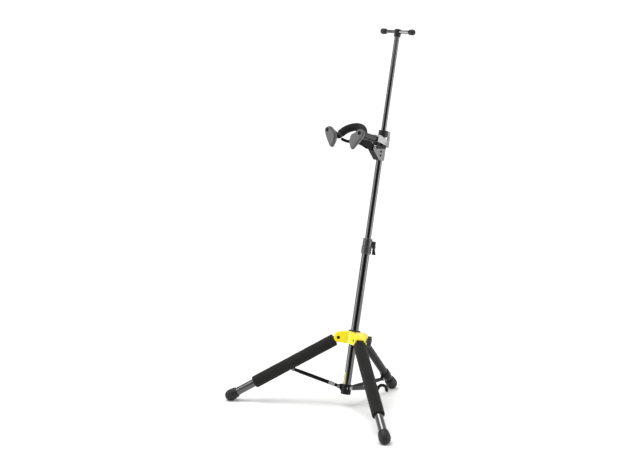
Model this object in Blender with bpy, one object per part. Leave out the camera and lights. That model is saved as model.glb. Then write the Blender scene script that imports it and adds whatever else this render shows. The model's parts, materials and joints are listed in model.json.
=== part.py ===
"""Cello stand: a folding tripod with a leaning telescopic mast, a self-closing neck yoke
and a bow hanger. Metres, +Z up, front (the instrument's side) towards -Y.

The mast leans back, so most pieces are placed in the frame of the empty "mast":
its origin is the bottom of the lower tube and its +Z runs up the mast.
"""
import math

import bmesh
import bpy
from mathutils import Matrix, Vector

# ---------------------------------------------------------------- driving dimensions
GAP = 0.0003                      # clearance kept between pieces that touch
LEAN = math.radians(12.5)         # the mast leans back from the vertical
MAST_FOOT_Y = -0.0223             # puts the whole stand's box centre on Y = 0

LOWER_TUBE_R = 0.0143
LOWER_TUBE_WALL = 0.0015
LOWER_TUBE_TOP = 0.5385
MIDDLE_TUBE_R = 0.0111
MIDDLE_TUBE_WALL = 0.0012
MIDDLE_TUBE_BOTTOM = 0.400
MIDDLE_TUBE_TOP = 0.905
ROD_R = 0.0090
ROD_WALL = 0.0012
ROD_BOTTOM = 0.760
ROD_TOP = 1.2635

HUB_HEIGHT = 0.1853               # leg pivots' height along the mast
LEG_PIVOT_R = 0.0512              # leg pivots' distance from the mast's axis
LEG_TUBE_R = 0.0145
LEG_TUBE_WALL = 0.0015
LEG_START = 0.0175                # tube end nearest the pivot
LEG_OPEN = math.radians(53.2)     # angle between an open leg and the mast
FRONT_SPREAD = math.radians(58.7) # front legs' directions, either side of straight ahead
FRONT_LEG_LENGTH = 0.4434         # pivot to foot centre
FOOT_R = 0.0203
FOOT_CENTRE_Z = 0.0190            # the rubber is flat where it meets the floor
FOAM_R = 0.0222
FOAM_START = 0.0185
FOAM_END = 0.345

STRUT_AT = {"left": 0.198, "right": 0.198, "back": 0.208}    # strut joint along the leg
STRUT_OFFSET = 0.0235             # and below the leg's axis
STRUT_HALF_WIDTH = 0.003
BASE_PIVOT_R = 0.027              # strut's lower joint, from the mast's axis
BASE_PIVOT_S = 0.0145             # and along the mast

LEGS = {"left": -FRONT_SPREAD, "right": FRONT_SPREAD, "back": math.radians(180)}
KNOB_DIRECTION = math.radians(120)
CLAMP_DIRECTION = math.radians(150)

YOKE_PIVOT = (0.004, 0.880)       # (y, s) in the mast's frame
TRIP_PIVOT = (-0.052, 0.860)
ARCH_CENTRE = (-0.178, 0.885)
ARCH_R = 0.046
ARCH_TILT = math.radians(46)
ARCH_TUBE_R = 0.006
ARCH_FOAM_R = 0.0140
GATE_PIVOT = (0.0694, -0.2119, 0.8945)
GATE_THICK = 0.018
GATE_SPLAY = math.radians(6)
GATE_HANG = math.radians(14)
HANGER_S = 1.272                  # crossbar's height along the mast
HANGER_R = 0.006
HANGER_KNOB_X = 0.061

SEGMENTS = 24
SMALL = 10                        # sides of a pin or a screw


# ---------------------------------------------------------------- small tools
def clear_scene():
    for obj in list(bpy.data.objects):
        bpy.data.objects.remove(obj, do_unlink=True)


def make_material(name, colour, roughness, metallic=0.0):
    mat = bpy.data.materials.new(name)
    mat.use_nodes = True
    shader = mat.node_tree.nodes["Principled BSDF"]
    shader.inputs["Base Color"].default_value = (*colour, 1.0)
    shader.inputs["Roughness"].default_value = roughness
    shader.inputs["Metallic"].default_value = metallic
    mat.diffuse_color = (*colour, 1.0)
    return mat


def empty(name, parent=None, location=(0, 0, 0), rotation=(0, 0, 0)):
    obj = bpy.data.objects.new(name, None)
    bpy.context.scene.collection.objects.link(obj)
    obj.parent = parent
    obj.location = location
    obj.rotation_euler = rotation
    return obj


def add(name, bm, parent, mat=None):
    """Turn a bmesh into an object: normals outwards, round pieces shaded smooth."""
    bmesh.ops.recalc_face_normals(bm, faces=bm.faces)
    mesh = bpy.data.meshes.new(name)
    bm.to_mesh(mesh)
    bm.free()
    mesh.shade_smooth()
    mesh.set_sharp_from_angle(angle=math.radians(35))
    obj = bpy.data.objects.new(name, mesh)
    bpy.context.scene.collection.objects.link(obj)
    obj.parent = parent
    if mat:
        mesh.materials.append(mat)
    return obj


def combine(obj, bm, operation):
    """Cut a tool shape out of an object, or join it on."""
    name = f"{obj.name}_tool{len(obj.modifiers)}"
    tool = add(name, bm, obj.parent)
    tool.hide_render = True
    tool.display_type = "WIRE"
    mod = obj.modifiers.new(operation.title(), "BOOLEAN")
    mod.operation = operation
    mod.solver = "EXACT"
    mod.object = tool
    return tool


def turned(profile, matrix=None, segments=SEGMENTS, bm=None):
    """Revolve (radius, height) points about Z. Points on the axis close the shape;
    a profile that never meets the axis is a closed loop, which makes a ring."""
    bm = bm or bmesh.new()
    matrix = matrix or Matrix.Identity(4)
    rings = []
    for radius, height in profile:
        if radius == 0:
            rings.append([bm.verts.new(matrix @ Vector((0, 0, height)))])
            continue
        ring = []
        for i in range(segments):
            angle = 2 * math.pi * i / segments
            point = Vector((radius * math.cos(angle), radius * math.sin(angle), height))
            ring.append(bm.verts.new(matrix @ point))
        rings.append(ring)
    pairs = list(zip(rings, rings[1:]))
    if profile[0][0] != 0:
        pairs.append((rings[-1], rings[0]))
    for low, high in pairs:
        for i in range(segments):
            j = (i + 1) % segments
            corners = [low[i % len(low)], low[j % len(low)], high[j % len(high)], high[i % len(high)]]
            unique = list(dict.fromkeys(corners))
            if len(unique) > 2:
                bm.faces.new(unique)
    return bm


def pipe(radius, inner, low, high):
    """Closed profile of a straight tube."""
    return [(inner, low), (radius, low), (radius, high), (inner, high)]


def cylinder(radius, low, high, edge=0.0):
    """Profile of a solid cylinder, with chamfered ends where edge isn't zero."""
    points = [(0, low), (radius - edge, low), (radius, low + edge)]
    points += [(radius, high - edge), (radius - edge, high), (0, high)]
    return [p for i, p in enumerate(points) if p not in points[:i]]


def along(axis, origin=(0, 0, 0)):
    """Matrix that turns +Z onto X or Y and moves it to an origin."""
    turn = {"X": Matrix.Rotation(math.pi / 2, 4, "Y"), "Y": Matrix.Rotation(-math.pi / 2, 4, "X"),
            "Z": Matrix.Identity(4)}[axis]
    return Matrix.Translation(origin) @ turn


def arc(centre, radius, start, end, count):
    """Points on a circle, angles in degrees."""
    points = []
    for i in range(count):
        angle = math.radians(start + (end - start) * i / (count - 1))
        points.append((centre[0] + radius * math.cos(angle), centre[1] + radius * math.sin(angle)))
    return points


def plate(outline, low, high, axis, matrix=None):
    """Extrude a flat outline. Its points are (y, z), (x, z) or (x, y) for axis X, Y or Z."""
    bm = bmesh.new()
    matrix = matrix or Matrix.Identity(4)
    place = {"X": lambda a, b, d: (d, a, b), "Y": lambda a, b, d: (a, d, b),
             "Z": lambda a, b, d: (a, b, d)}[axis]
    ends = []
    for depth in (low, high):
        ends.append([bm.verts.new(matrix @ Vector(place(a, b, depth))) for a, b in outline])
    bm.faces.new(ends[0])
    bm.faces.new(ends[1])
    count = len(outline)
    for i in range(count):
        j = (i + 1) % count
        bm.faces.new([ends[0][i], ends[0][j], ends[1][j], ends[1][i]])
    return bm


def box(low, high):
    outline = [(low[0], low[1]), (high[0], low[1]), (high[0], high[1]), (low[0], high[1])]
    return plate(outline, low[2], high[2], "Z")


def sweep(path, radii, segments=12):
    """Round bar along a path; radii holds one radius for each point."""
    bm = bmesh.new()
    points = [Vector(p) for p in path]
    side = None
    rings = []
    for i, point in enumerate(points):
        ahead = points[min(i + 1, len(points) - 1)] - points[max(i - 1, 0)]
        ahead.normalize()
        if side is None:
            side = ahead.orthogonal().normalized()
        side = (side - ahead * side.dot(ahead)).normalized()
        other = ahead.cross(side)
        ring = []
        for k in range(segments):
            angle = 2 * math.pi * k / segments
            offset = side * math.cos(angle) + other * math.sin(angle)
            ring.append(bm.verts.new(point + offset * radii[i]))
        rings.append(ring)
    for low, high in zip(rings, rings[1:]):
        for k in range(segments):
            j = (k + 1) % segments
            bm.faces.new([low[k], low[j], high[j], high[k]])
    bm.faces.new(rings[0])
    bm.faces.new(rings[-1])
    return bm


def smooth_path(points, steps):
    """Catmull-Rom curve through a few chosen points."""
    pts = [Vector(p) for p in points]
    pts = [pts[0] * 2 - pts[1]] + pts + [pts[-1] * 2 - pts[-2]]
    out = []
    for i in range(1, len(pts) - 2):
        a, b, c, d = pts[i - 1:i + 3]
        for k in range(steps):
            t = k / steps
            out.append(0.5 * (2 * b + (c - a) * t + (2 * a - 5 * b + 4 * c - d) * t * t
                              + (3 * b - a - 3 * c + d) * t ** 3))
    out.append(pts[-2])
    return out


def radial(angle):
    """Direction around the mast; 0 is the front, positive towards +X."""
    return Vector((math.sin(angle), -math.cos(angle), 0))


def turn_to(angle):
    """Turns +X onto a radial direction."""
    return Matrix.Rotation(angle - math.pi / 2, 4, "Z")


# ---------------------------------------------------------------- derived sizes
def back_leg_length():
    """Length that puts the back foot as high as the front feet."""
    def height(length, forward):
        reach = LEG_PIVOT_R + length * math.sin(LEG_OPEN)
        rise = HUB_HEIGHT - length * math.cos(LEG_OPEN)
        return forward * math.sin(LEAN) * reach + math.cos(LEAN) * rise
    target = height(FRONT_LEG_LENGTH, math.cos(FRONT_SPREAD))
    fixed = height(0, -1)
    return (target - fixed) / (height(1, -1) - fixed)


def mast_foot_height():
    reach = LEG_PIVOT_R + FRONT_LEG_LENGTH * math.sin(LEG_OPEN)
    rise = HUB_HEIGHT - FRONT_LEG_LENGTH * math.cos(LEG_OPEN)
    forward = math.cos(FRONT_SPREAD)
    return FOOT_CENTRE_Z - forward * math.sin(LEAN) * reach - math.cos(LEAN) * rise


def strut_geometry(side):
    """Strut length, and its angle from the leg's direction when the stand is open."""
    reach = STRUT_AT[side]
    joint = (LEG_PIVOT_R + reach * math.sin(LEG_OPEN) - STRUT_OFFSET * math.cos(LEG_OPEN),
             HUB_HEIGHT - reach * math.cos(LEG_OPEN) - STRUT_OFFSET * math.sin(LEG_OPEN))
    reach = (BASE_PIVOT_R - joint[0], BASE_PIVOT_S - joint[1])
    down_leg = reach[0] * math.sin(LEG_OPEN) - reach[1] * math.cos(LEG_OPEN)
    under_leg = -reach[0] * math.cos(LEG_OPEN) - reach[1] * math.sin(LEG_OPEN)
    return math.hypot(*reach), math.atan2(under_leg, down_leg)


# ---------------------------------------------------------------- mast
def build_lower_mast(mast, mats):
    tube = pipe(LOWER_TUBE_R, LOWER_TUBE_R - LOWER_TUBE_WALL, 0, LOWER_TUBE_TOP)
    add("lower_mast_tube", turned(tube), mast, mats["gloss_black_tube"])
    bore = LOWER_TUBE_R - LOWER_TUBE_WALL
    plug = [(0, -0.0090), (0.0125, -0.0090), (LOWER_TUBE_R, -0.0080), (LOWER_TUBE_R, -GAP),
            (bore - GAP, -GAP), (bore - GAP, 0.014), (0, 0.014)]
    add("base_end_plug", turned(plug), mast, mats["end_plug"])


def build_base_bracket(mast, mats):
    """Collar at the foot of the mast with three open forks for the struts."""
    ring = pipe(0.0178, LOWER_TUBE_R + GAP, -0.0095, 0.0250)
    bracket = add("base_bracket", turned(ring), mast, mats["base_bracket"])
    centre = (BASE_PIVOT_R, BASE_PIVOT_S)
    fork = [(0.0160, -0.0030), (0.0160, 0.0240), (0.0200, 0.0240)]
    fork += arc(centre, 0.0072, 60, -110, 11)
    head = [(0, 0.0050), (0.0046, 0.0050), (0.0046, 0.0068), (0.0042, 0.0077), (0.0030, 0.0082),
            (0, 0.0084)]
    for angle in LEGS.values():
        turn = turn_to(angle)
        place = turn @ along("Y", (centre[0], 0, centre[1]))
        for side in (-1, 1):
            low, high = sorted((side * 0.0036, side * 0.0061))
            combine(bracket, plate(fork, low, high, "Y", turn), "UNION")
            combine(bracket, turned([(r, side * z) for r, z in head], place, SMALL), "UNION")


def build_floor_hook(mast, mats):
    """Short arm from the base bracket that ends in a downward clip."""
    out = radial(KNOB_DIRECTION)
    route = [(0.0182, 0.0140), (0.030, 0.0150), (0.065, 0.0215), (0.100, 0.0310), (0.108, 0.0330)]
    points = smooth_path([out * r + Vector((0, 0, s)) for r, s in route], 2)
    hook = add("floor_hook", sweep(points, [0.0036] * len(points), 8), mast, mats["hook"])
    clip = [out * r + Vector((0, 0, s)) for r, s in arc((0.126, 0.0270), 0.0155, -20, 200, 11)]
    combine(hook, sweep(clip, [0.0042] * len(clip), 8), "UNION")


def build_clutch(mast, mats):
    """Squeeze clutch on top of the lower tube."""
    bore = LOWER_TUBE_R + GAP
    sleeve = [(bore, 0.4880), (0.0168, 0.4880), (0.0182, 0.4905), (0.0182, 0.5116), (0.0178, 0.5128),
              (bore, 0.5128)]
    add("clutch_sleeve", turned(sleeve), mast, mats["clutch"])
    head = [(bore, 0.5131), (0.0170, 0.5131), (0.0172, 0.5140), (0.0168, 0.5410), (0.0158, 0.5430),
            (0.0118, 0.5430), (0.0118, 0.5412), (bore, 0.5412)]
    body = add("clutch_head", turned(head), mast, mats["clutch"])
    turn = turn_to(KNOB_DIRECTION)
    lug = [(0.0158, 0.5137), (0.0158, 0.5355), (0.0290, 0.5355), (0.0305, 0.5340), (0.0305, 0.5095),
           (0.0195, 0.5095), (0.0195, 0.5137)]
    combine(body, plate(lug, -0.0068, 0.0068, "Y", turn), "UNION")
    slot = box((0.0215, -0.0045, 0.500), (0.040, 0.0045, 0.5190))
    slot.transform(turn)
    combine(body, slot, "DIFFERENCE")
    pin_place = turn @ along("Y", (0.0258, 0, 0.5140))
    combine(body, turned(cylinder(0.0014, -0.009, 0.009), pin_place, SMALL), "DIFFERENCE")
    pin = turned(cylinder(0.0011, -0.0066, 0.0066), pin_place, SMALL)
    add("clutch_lever_pin", pin, mast, mats["rivet"])
    inner = MIDDLE_TUBE_R + GAP
    wall = LOWER_TUBE_R - LOWER_TUBE_WALL - GAP
    bush = [(inner, 0.500), (wall, 0.500), (wall, LOWER_TUBE_TOP + GAP), (0.0142, LOWER_TUBE_TOP + GAP),
            (0.0142, 0.5409), (inner, 0.5409)]
    add("clutch_bush", turned(bush), mast, mats["bush"])
    axis = empty("clutch_lever_axis", mast, radial(KNOB_DIRECTION) * 0.0258 + Vector((0, 0, 0.5140)),
                 (0, 0, KNOB_DIRECTION - math.pi / 2))
    blade = [(-0.0016, -0.0015), (0.0012, 0.0), (0.0088, -0.0238), (0.0080, -0.0255), (-0.0040, -0.0255),
             (-0.0044, -0.0245), (-0.0044, -0.0066), (-0.0030, -0.0042)]
    lever = add("clutch_lever", plate(blade, -0.0042, 0.0042, "Y"), axis, mats["lever"])
    combine(lever, turned(cylinder(0.0030, -0.0042, 0.0042), along("Y"), SMALL), "UNION")
    combine(lever, turned(cylinder(0.0014, -0.009, 0.009), along("Y"), SMALL), "DIFFERENCE")


def build_upper_mast(mast, mats):
    tube = pipe(MIDDLE_TUBE_R, MIDDLE_TUBE_R - MIDDLE_TUBE_WALL, MIDDLE_TUBE_BOTTOM, MIDDLE_TUBE_TOP)
    add("middle_tube", turned(tube), mast, mats["gloss_black_tube"])
    low = MIDDLE_TUBE_BOTTOM
    bore = MIDDLE_TUBE_R - MIDDLE_TUBE_WALL
    guide = [(0, low - 0.004), (0.0125, low - 0.004), (0.0125, low - GAP), (bore - GAP, low - GAP),
             (bore - GAP, low + 0.012), (0, low + 0.012)]
    add("middle_tube_guide", turned(guide), mast, mats["bush"])


def build_top_clamp(mast, mats):
    """Ring on top of the middle tube that holds the rod, with a flip lever."""
    wide = MIDDLE_TUBE_R + GAP
    narrow = ROD_R + GAP
    low = 0.9025
    high = 0.9245
    step = MIDDLE_TUBE_TOP + GAP
    ring = [(wide, low), (0.0157, low), (0.0165, low + 0.0012), (0.0165, high - 0.002),
            (0.0172, high - 0.0016), (0.0172, high), (narrow, high), (narrow, step), (wide, step)]
    body = add("top_clamp_ring", turned(ring), mast, mats["clutch"])
    turn = turn_to(CLAMP_DIRECTION)
    lug = [(0.0150, 0.9035), (0.0150, 0.9225), (0.0235, 0.9225), (0.0245, 0.9205), (0.0245, 0.9035)]
    combine(body, plate(lug, -0.0068, 0.0068, "Y", turn), "UNION")
    slot = box((0.0178, -0.0045, 0.890), (0.040, 0.0045, 0.9143))
    slot.transform(turn)
    combine(body, slot, "DIFFERENCE")
    pivot = (0.0211, 0.9075)
    pin_place = turn @ along("Y", (pivot[0], 0, pivot[1]))
    combine(body, turned(cylinder(0.0014, -0.009, 0.009), pin_place, SMALL), "DIFFERENCE")
    pin = turned(cylinder(0.0011, -0.0066, 0.0066), pin_place, SMALL)
    add("top_clamp_pin", pin, mast, mats["rivet"])
    place = radial(CLAMP_DIRECTION) * pivot[0] + Vector((0, 0, pivot[1]))
    axis = empty("top_clamp_lever_axis", mast, place, (0, 0, CLAMP_DIRECTION - math.pi / 2))
    blade = [(-0.0028, 0.0)] + arc((0, 0), 0.0028, 150, 40, 4)
    blade += [(0.0035, 0.0010), (0.0060, -0.0035), (0.0060, -0.0395), (0.0045, -0.0410),
              (-0.0015, -0.0410), (-0.0028, -0.0395)]
    lever = add("top_clamp_lever", plate(blade, -0.0042, 0.0042, "Y"), axis, mats["lever"])
    combine(lever, box((-0.0008, -0.01, -0.0380), (0.0036, 0.01, -0.0335)), "DIFFERENCE")
    combine(lever, turned(cylinder(0.0014, -0.009, 0.009), along("Y"), SMALL), "DIFFERENCE")


def build_bow_hanger(mast, mats):
    tube = pipe(ROD_R, ROD_R - ROD_WALL, ROD_BOTTOM, ROD_TOP)
    add("top_rod", turned(tube, segments=20), mast, mats["gloss_black_tube"])
    bore = ROD_R + GAP
    block = [(0, ROD_TOP + GAP), (bore, ROD_TOP + GAP), (bore, 1.2540), (0.0108, 1.2540),
             (0.0116, 1.2560), (0.0116, 1.2790), (0.0095, 1.2812), (0, 1.2812)]
    hanger = add("hanger_block", turned(block, segments=20), mast, mats["cap"])
    across = along("X", (0, 0, HANGER_S))
    combine(hanger, turned(cylinder(HANGER_R + GAP, -0.02, 0.02), across, 20), "DIFFERENCE")
    half = HANGER_KNOB_X - 0.001
    bar = turned(cylinder(HANGER_R, -half, half, 0.0004), across, 20)
    add("hanger_bar", bar, mast, mats["gloss_black_tube"])
    end = -0.001 + GAP
    knob = [(0, end), (HANGER_R + GAP, end), (HANGER_R + GAP, -0.0115), (0.0078, -0.0115),
            (0.0094, -0.0095), (0.0101, -0.003), (0.0103, 0.003), (0.0094, 0.0085), (0.0070, 0.0110),
            (0, 0.0116)]
    for name, side in (("left", -1), ("right", 1)):
        place = Matrix.Translation((side * HANGER_KNOB_X, 0, HANGER_S))
        place = place @ Matrix.Rotation(side * math.pi / 2, 4, "Y")
        add(f"hanger_knob_{name}", turned(knob, place, 20), mast, mats["cap"])


# ---------------------------------------------------------------- hub
def build_hub(mast, mats):
    hub = empty("hub", mast, (0, 0, HUB_HEIGHT))
    low = -0.0165
    high = 0.0280
    core = [(0, low), (0.0250, low), (0.0262, low + 0.0012), (0.0262, high - 0.003), (0.0240, high),
            (0, high)]
    body = add("hub_body", turned(core, segments=48), hub, mats["hub_yellow"])
    lobe = [(0, low)] + arc((LEG_PIVOT_R, 0), 0.0163, -90, 0, 7)
    lobe += [(0.0672, 0.0080), (0.0655, 0.0118), (0.0615, 0.0165), (0.0540, 0.0212), (0.0430, 0.0250),
             (0.0320, 0.0270), (0.0230, 0.0278), (0, 0.0278)]
    half = 0.0200
    for angle in LEGS.values():
        solid = plate(lobe, -half, half, "Y", turn_to(angle))
        combine(body, solid, "UNION")
    boss = turned(cylinder(0.0085, 0.020, 0.0475), turn_to(KNOB_DIRECTION) @ along("X"), 20)
    combine(body, boss, "UNION")
    slot = [(LEG_PIVOT_R - 0.0137, -0.04)] + arc((LEG_PIVOT_R, 0), 0.0137, 180, 37, 10)
    slot += [(LEG_PIVOT_R + 0.0349, -0.0098), (LEG_PIVOT_R + 0.0349, -0.04)]
    for angle in LEGS.values():
        combine(body, plate(slot, -0.0131, 0.0131, "Y", turn_to(angle)), "DIFFERENCE")
    combine(body, turned(cylinder(0.0190, -0.03, 0.04), segments=SEGMENTS), "DIFFERENCE")
    for side, angle in LEGS.items():
        place = turn_to(angle) @ along("Y", (LEG_PIVOT_R, 0, 0))
        combine(body, turned(cylinder(0.0033, -0.03, 0.03), place, SMALL), "DIFFERENCE")
        for low_end, high_end in ((-0.03, -0.0183), (0.0183, 0.03)):
            combine(body, turned(cylinder(0.0046, low_end, high_end), place, 16), "DIFFERENCE")
        pin = turned(cylinder(0.0030, -0.0178, 0.0178, 0.0005), place, SMALL)
        add(f"leg_pin_{side}", pin, hub, mats["rivet"])
    screw_hole = turned(cylinder(0.0043, 0.010, 0.06), turn_to(KNOB_DIRECTION) @ along("X"), SMALL)
    combine(body, screw_hole, "DIFFERENCE")
    inner = LOWER_TUBE_R + GAP
    bush = [(inner, low), (0.0187, low), (0.0187, high + GAP), (0.0212, high + GAP),
            (0.0206, high + 0.0035), (0.0165, high + 0.0040), (inner, high + 0.0040)]
    add("hub_bush", turned(bush), hub, mats["bush"])
    build_hub_knob(hub, mats)
    return hub


def build_hub_knob(hub, mats):
    axis = empty("hub_knob_axis", hub, (0, 0, 0), (0, math.pi / 2, KNOB_DIRECTION - math.pi / 2))
    screw = [(0, 0.0192), (0.0035, 0.0192), (0.0040, 0.0200), (0.0040, 0.0575), (0, 0.0575)]
    add("hub_knob_screw", turned(screw, segments=SMALL), axis, mats["rivet"])
    lobes = 10
    outline = []
    for i in range(lobes * 6):
        angle = 2 * math.pi * i / (lobes * 6)
        radius = 0.0180 + 0.0007 * math.cos(lobes * angle)
        outline.append((radius * math.cos(angle), radius * math.sin(angle)))
    knob = add("hub_knob", plate(outline, 0.0500, 0.0635, "Z"), axis, mats["knob"])
    combine(knob, turned(cylinder(0.0043, 0.030, 0.0580), segments=SMALL), "DIFFERENCE")


# ---------------------------------------------------------------- legs
def build_leg(side, hub, mats):
    angle = LEGS[side]
    length = back_leg_length() if side == "back" else FRONT_LEG_LENGTH
    hinge = empty(f"leg_{side}_hinge", hub, radial(angle) * LEG_PIVOT_R, (0, 0, angle - math.pi / 2))
    leg = empty(f"leg_{side}", hinge, (0, 0, 0), (0, -LEG_OPEN, 0))
    inner = LEG_TUBE_R - LEG_TUBE_WALL
    tube = pipe(LEG_TUBE_R, inner, -length, -LEG_START)
    finish = "leg_tube_back" if side == "back" else "gloss_black_tube"
    add(f"leg_tube_{side}", turned(tube), leg, mats[finish])
    build_leg_fitting(side, leg, inner, mats)
    build_foot(side, leg, length, mats)
    build_strut(side, leg, mats)
    if side != "back":
        build_leg_foam(side, leg, mats)


def build_leg_fitting(side, leg, inner, mats):
    """Hinge barrel across the top of the leg, with a spigot inside the tube."""
    barrel = turned(cylinder(0.0124, -0.0127, 0.0127), along("Y"), 20)
    fitting = add(f"leg_fitting_{side}", barrel, leg, mats["leg_fitting"])
    neck = -LEG_START + GAP
    spigot = [(0, -0.040), (inner - GAP, -0.040), (inner - GAP, neck), (0.0124, neck), (0.0124, 0.0),
              (0, 0.0)]
    combine(fitting, turned(spigot, segments=20), "UNION")
    combine(fitting, turned(cylinder(0.0033, -0.03, 0.03), along("Y"), SMALL), "DIFFERENCE")


def build_foot(side, leg, length, mats):
    outline = [(r, z - length) for z, r in arc((0, 0), FOOT_R, 180, 90, 9)]
    outline[0] = (0, -FOOT_R - length)
    outline += [(0.0202, 0.009 - length), (0.0188, 0.020 - length), (0.0174, 0.027 - length),
                (LEG_TUBE_R + GAP, 0.027 - length), (LEG_TUBE_R + GAP, -GAP - length), (0, -GAP - length)]
    foot = add(f"foot_{side}", turned(outline, segments=SEGMENTS), leg, mats["foot_rubber"])
    floor = box((-1, -1, -0.2), (1, 1, 0))
    tool = combine(foot, floor, "DIFFERENCE")
    tool.parent = None


def build_strut(side, leg, mats):
    """Clamp with two ears under the leg, its pin, and the strut bar down to the base."""
    low = -STRUT_AT[side] - 0.012
    high = -STRUT_AT[side] + 0.012
    band = pipe(LEG_TUBE_R + 0.0028, LEG_TUBE_R + GAP, low, high)
    clamp = add(f"strut_clamp_{side}", turned(band), leg, mats["strut_clamp"])
    joint = (-STRUT_OFFSET, -STRUT_AT[side])
    root = -LEG_TUBE_R - 0.0011
    ear = [(root, high - 0.002)] + arc(joint, 0.0066, 110, 250, 9) + [(root, low + 0.002)]
    for y in (-1, 1):
        near, far = sorted((y * 0.0035, y * 0.0060))
        combine(clamp, plate(ear, near, far, "Y"), "UNION")
    place = along("Y", (joint[0], 0, joint[1]))
    combine(clamp, turned(cylinder(0.0027, -0.02, 0.02), place, SMALL), "DIFFERENCE")
    pin = [(0, -0.0078), (0.0030, -0.0078), (0.0040, -0.0070), (0.0040, -0.0063), (0.0024, -0.0063),
           (0.0024, 0.0063), (0.0040, 0.0063), (0.0040, 0.0070), (0.0030, 0.0078), (0, 0.0078)]
    add(f"strut_pin_{side}", turned(pin, place, SMALL), leg, mats["rivet"])
    length, angle = strut_geometry(side)
    strut = empty(f"strut_{side}", leg, (joint[0], 0, joint[1]), (0, angle, 0))
    bar = arc((0, 0), 0.0050, 180, 0, 9) + [(0.0064, -0.028), (0.0064, -length + 0.030)]
    bar += arc((0, -length), 0.0050, 0, -180, 9) + [(-0.0064, -length + 0.030), (-0.0064, -0.028)]
    flat = plate(bar, -STRUT_HALF_WIDTH, STRUT_HALF_WIDTH, "Y")
    body = add(f"strut_bar_{side}", flat, strut, mats["strut"])
    combine(body, turned(cylinder(0.0027, -0.02, 0.02), along("Y"), SMALL), "DIFFERENCE")
    hole = along("Y", (0, 0, -length))
    combine(body, turned(cylinder(0.0022, -0.02, 0.02), hole, 16), "DIFFERENCE")


def build_leg_foam(side, leg, mats):
    inner = LEG_TUBE_R + GAP
    ends = 0.0025
    edge = 0.0007
    sleeve = [(inner, -FOAM_END), (FOAM_R - ends, -FOAM_END), (FOAM_R - edge, -FOAM_END + edge),
              (FOAM_R, -FOAM_END + ends), (FOAM_R, -FOAM_START - ends),
              (FOAM_R - edge, -FOAM_START - edge), (FOAM_R - ends, -FOAM_START), (inner, -FOAM_START)]
    foam = add(f"leg_foam_{side}", turned(sleeve), leg, mats["foam"])
    middle = -STRUT_AT[side]
    groove = cylinder(LEG_TUBE_R + 0.0031, middle - 0.0123, middle + 0.0123)
    combine(foam, turned(groove), "DIFFERENCE")
    root = -LEG_TUBE_R + 0.0002
    combine(foam, box((-0.03, -0.0083, middle - 0.0135), (root, 0.0083, middle + 0.0125)), "DIFFERENCE")
    combine(foam, box((-0.03, -0.0042, middle - 0.045), (root, 0.0042, middle)), "DIFFERENCE")


# ---------------------------------------------------------------- yoke
def build_yoke_bracket(mast, mats):
    """Channel bracket on the middle tube: it carries the yoke's pivot and the trip lever."""
    outer = 0.0135
    inner = 0.0115
    side = [(-0.0180, 0.8195), (-0.0580, 0.8530), (-0.0585, 0.8625), (-0.0540, 0.8665),
            (-0.0120, 0.8665), (-0.0070, 0.8745)] + arc(YOKE_PIVOT, 0.0065, 150, 0, 7)
    side += [(0.0105, 0.8700), (0.0105, 0.8195)]
    bracket = add("yoke_bracket", plate(side, -outer, outer, "X"), mast, mats["bracket"])
    pocket = [(-0.0150, 0.8100), (-0.0150, 0.8208), (-0.0478, 0.8485), (-0.0750, 0.8485), (-0.0750, 0.90),
              (0.05, 0.90), (0.05, 0.8100)]
    combine(bracket, plate(pocket, -inner, inner, "X"), "DIFFERENCE")
    holes = bmesh.new()
    turned(cylinder(0.0022, -0.02, 0.02), along("X", (0, -0.0150, 0.8500)), SMALL, holes)
    turned(cylinder(0.0022, -0.02, 0.02), along("X", (0, -0.0150, 0.8360)), SMALL, holes)
    turned(cylinder(0.0028, -0.02, 0.02), along("X", (0, *TRIP_PIVOT)), SMALL, holes)
    for end in (-1, 1):
        place = along("X", (0, *YOKE_PIVOT))
        stud = [(0, 0.0120), (0.0023, 0.0120), (0.0023, 0.0161), (0.0042, 0.0161), (0.0040, 0.0170),
                (0, 0.0175)]
        combine(bracket, turned([(r, end * z) for r, z in stud], place, SMALL), "UNION")
    combine(bracket, holes, "DIFFERENCE")
    for name, height in (("upper", 0.8500), ("lower", 0.8360)):
        place = along("X", (0, -0.0150, height))
        screw = [(0, -0.0150), (0.0032, -0.0150), (0.0036, -0.0145), (0.0036, -0.0138), (0.0019, -0.0138),
                 (0.0019, 0.0138), (0.0036, 0.0138), (0.0036, 0.0148), (0.0030, 0.0158), (0.0, 0.0158)]
        add(f"bracket_screw_{name}", turned(screw, place, SMALL), mast, mats["rivet"])
    pin = [(0, -0.0150), (0.0036, -0.0150), (0.0036, -0.0138), (0.0025, -0.0138), (0.0025, 0.0138),
           (0.0036, 0.0138), (0.0036, 0.0150), (0, 0.0150)]
    add("trip_pin", turned(pin, along("X", (0, *TRIP_PIVOT)), SMALL), mast, mats["rivet"])


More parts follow.
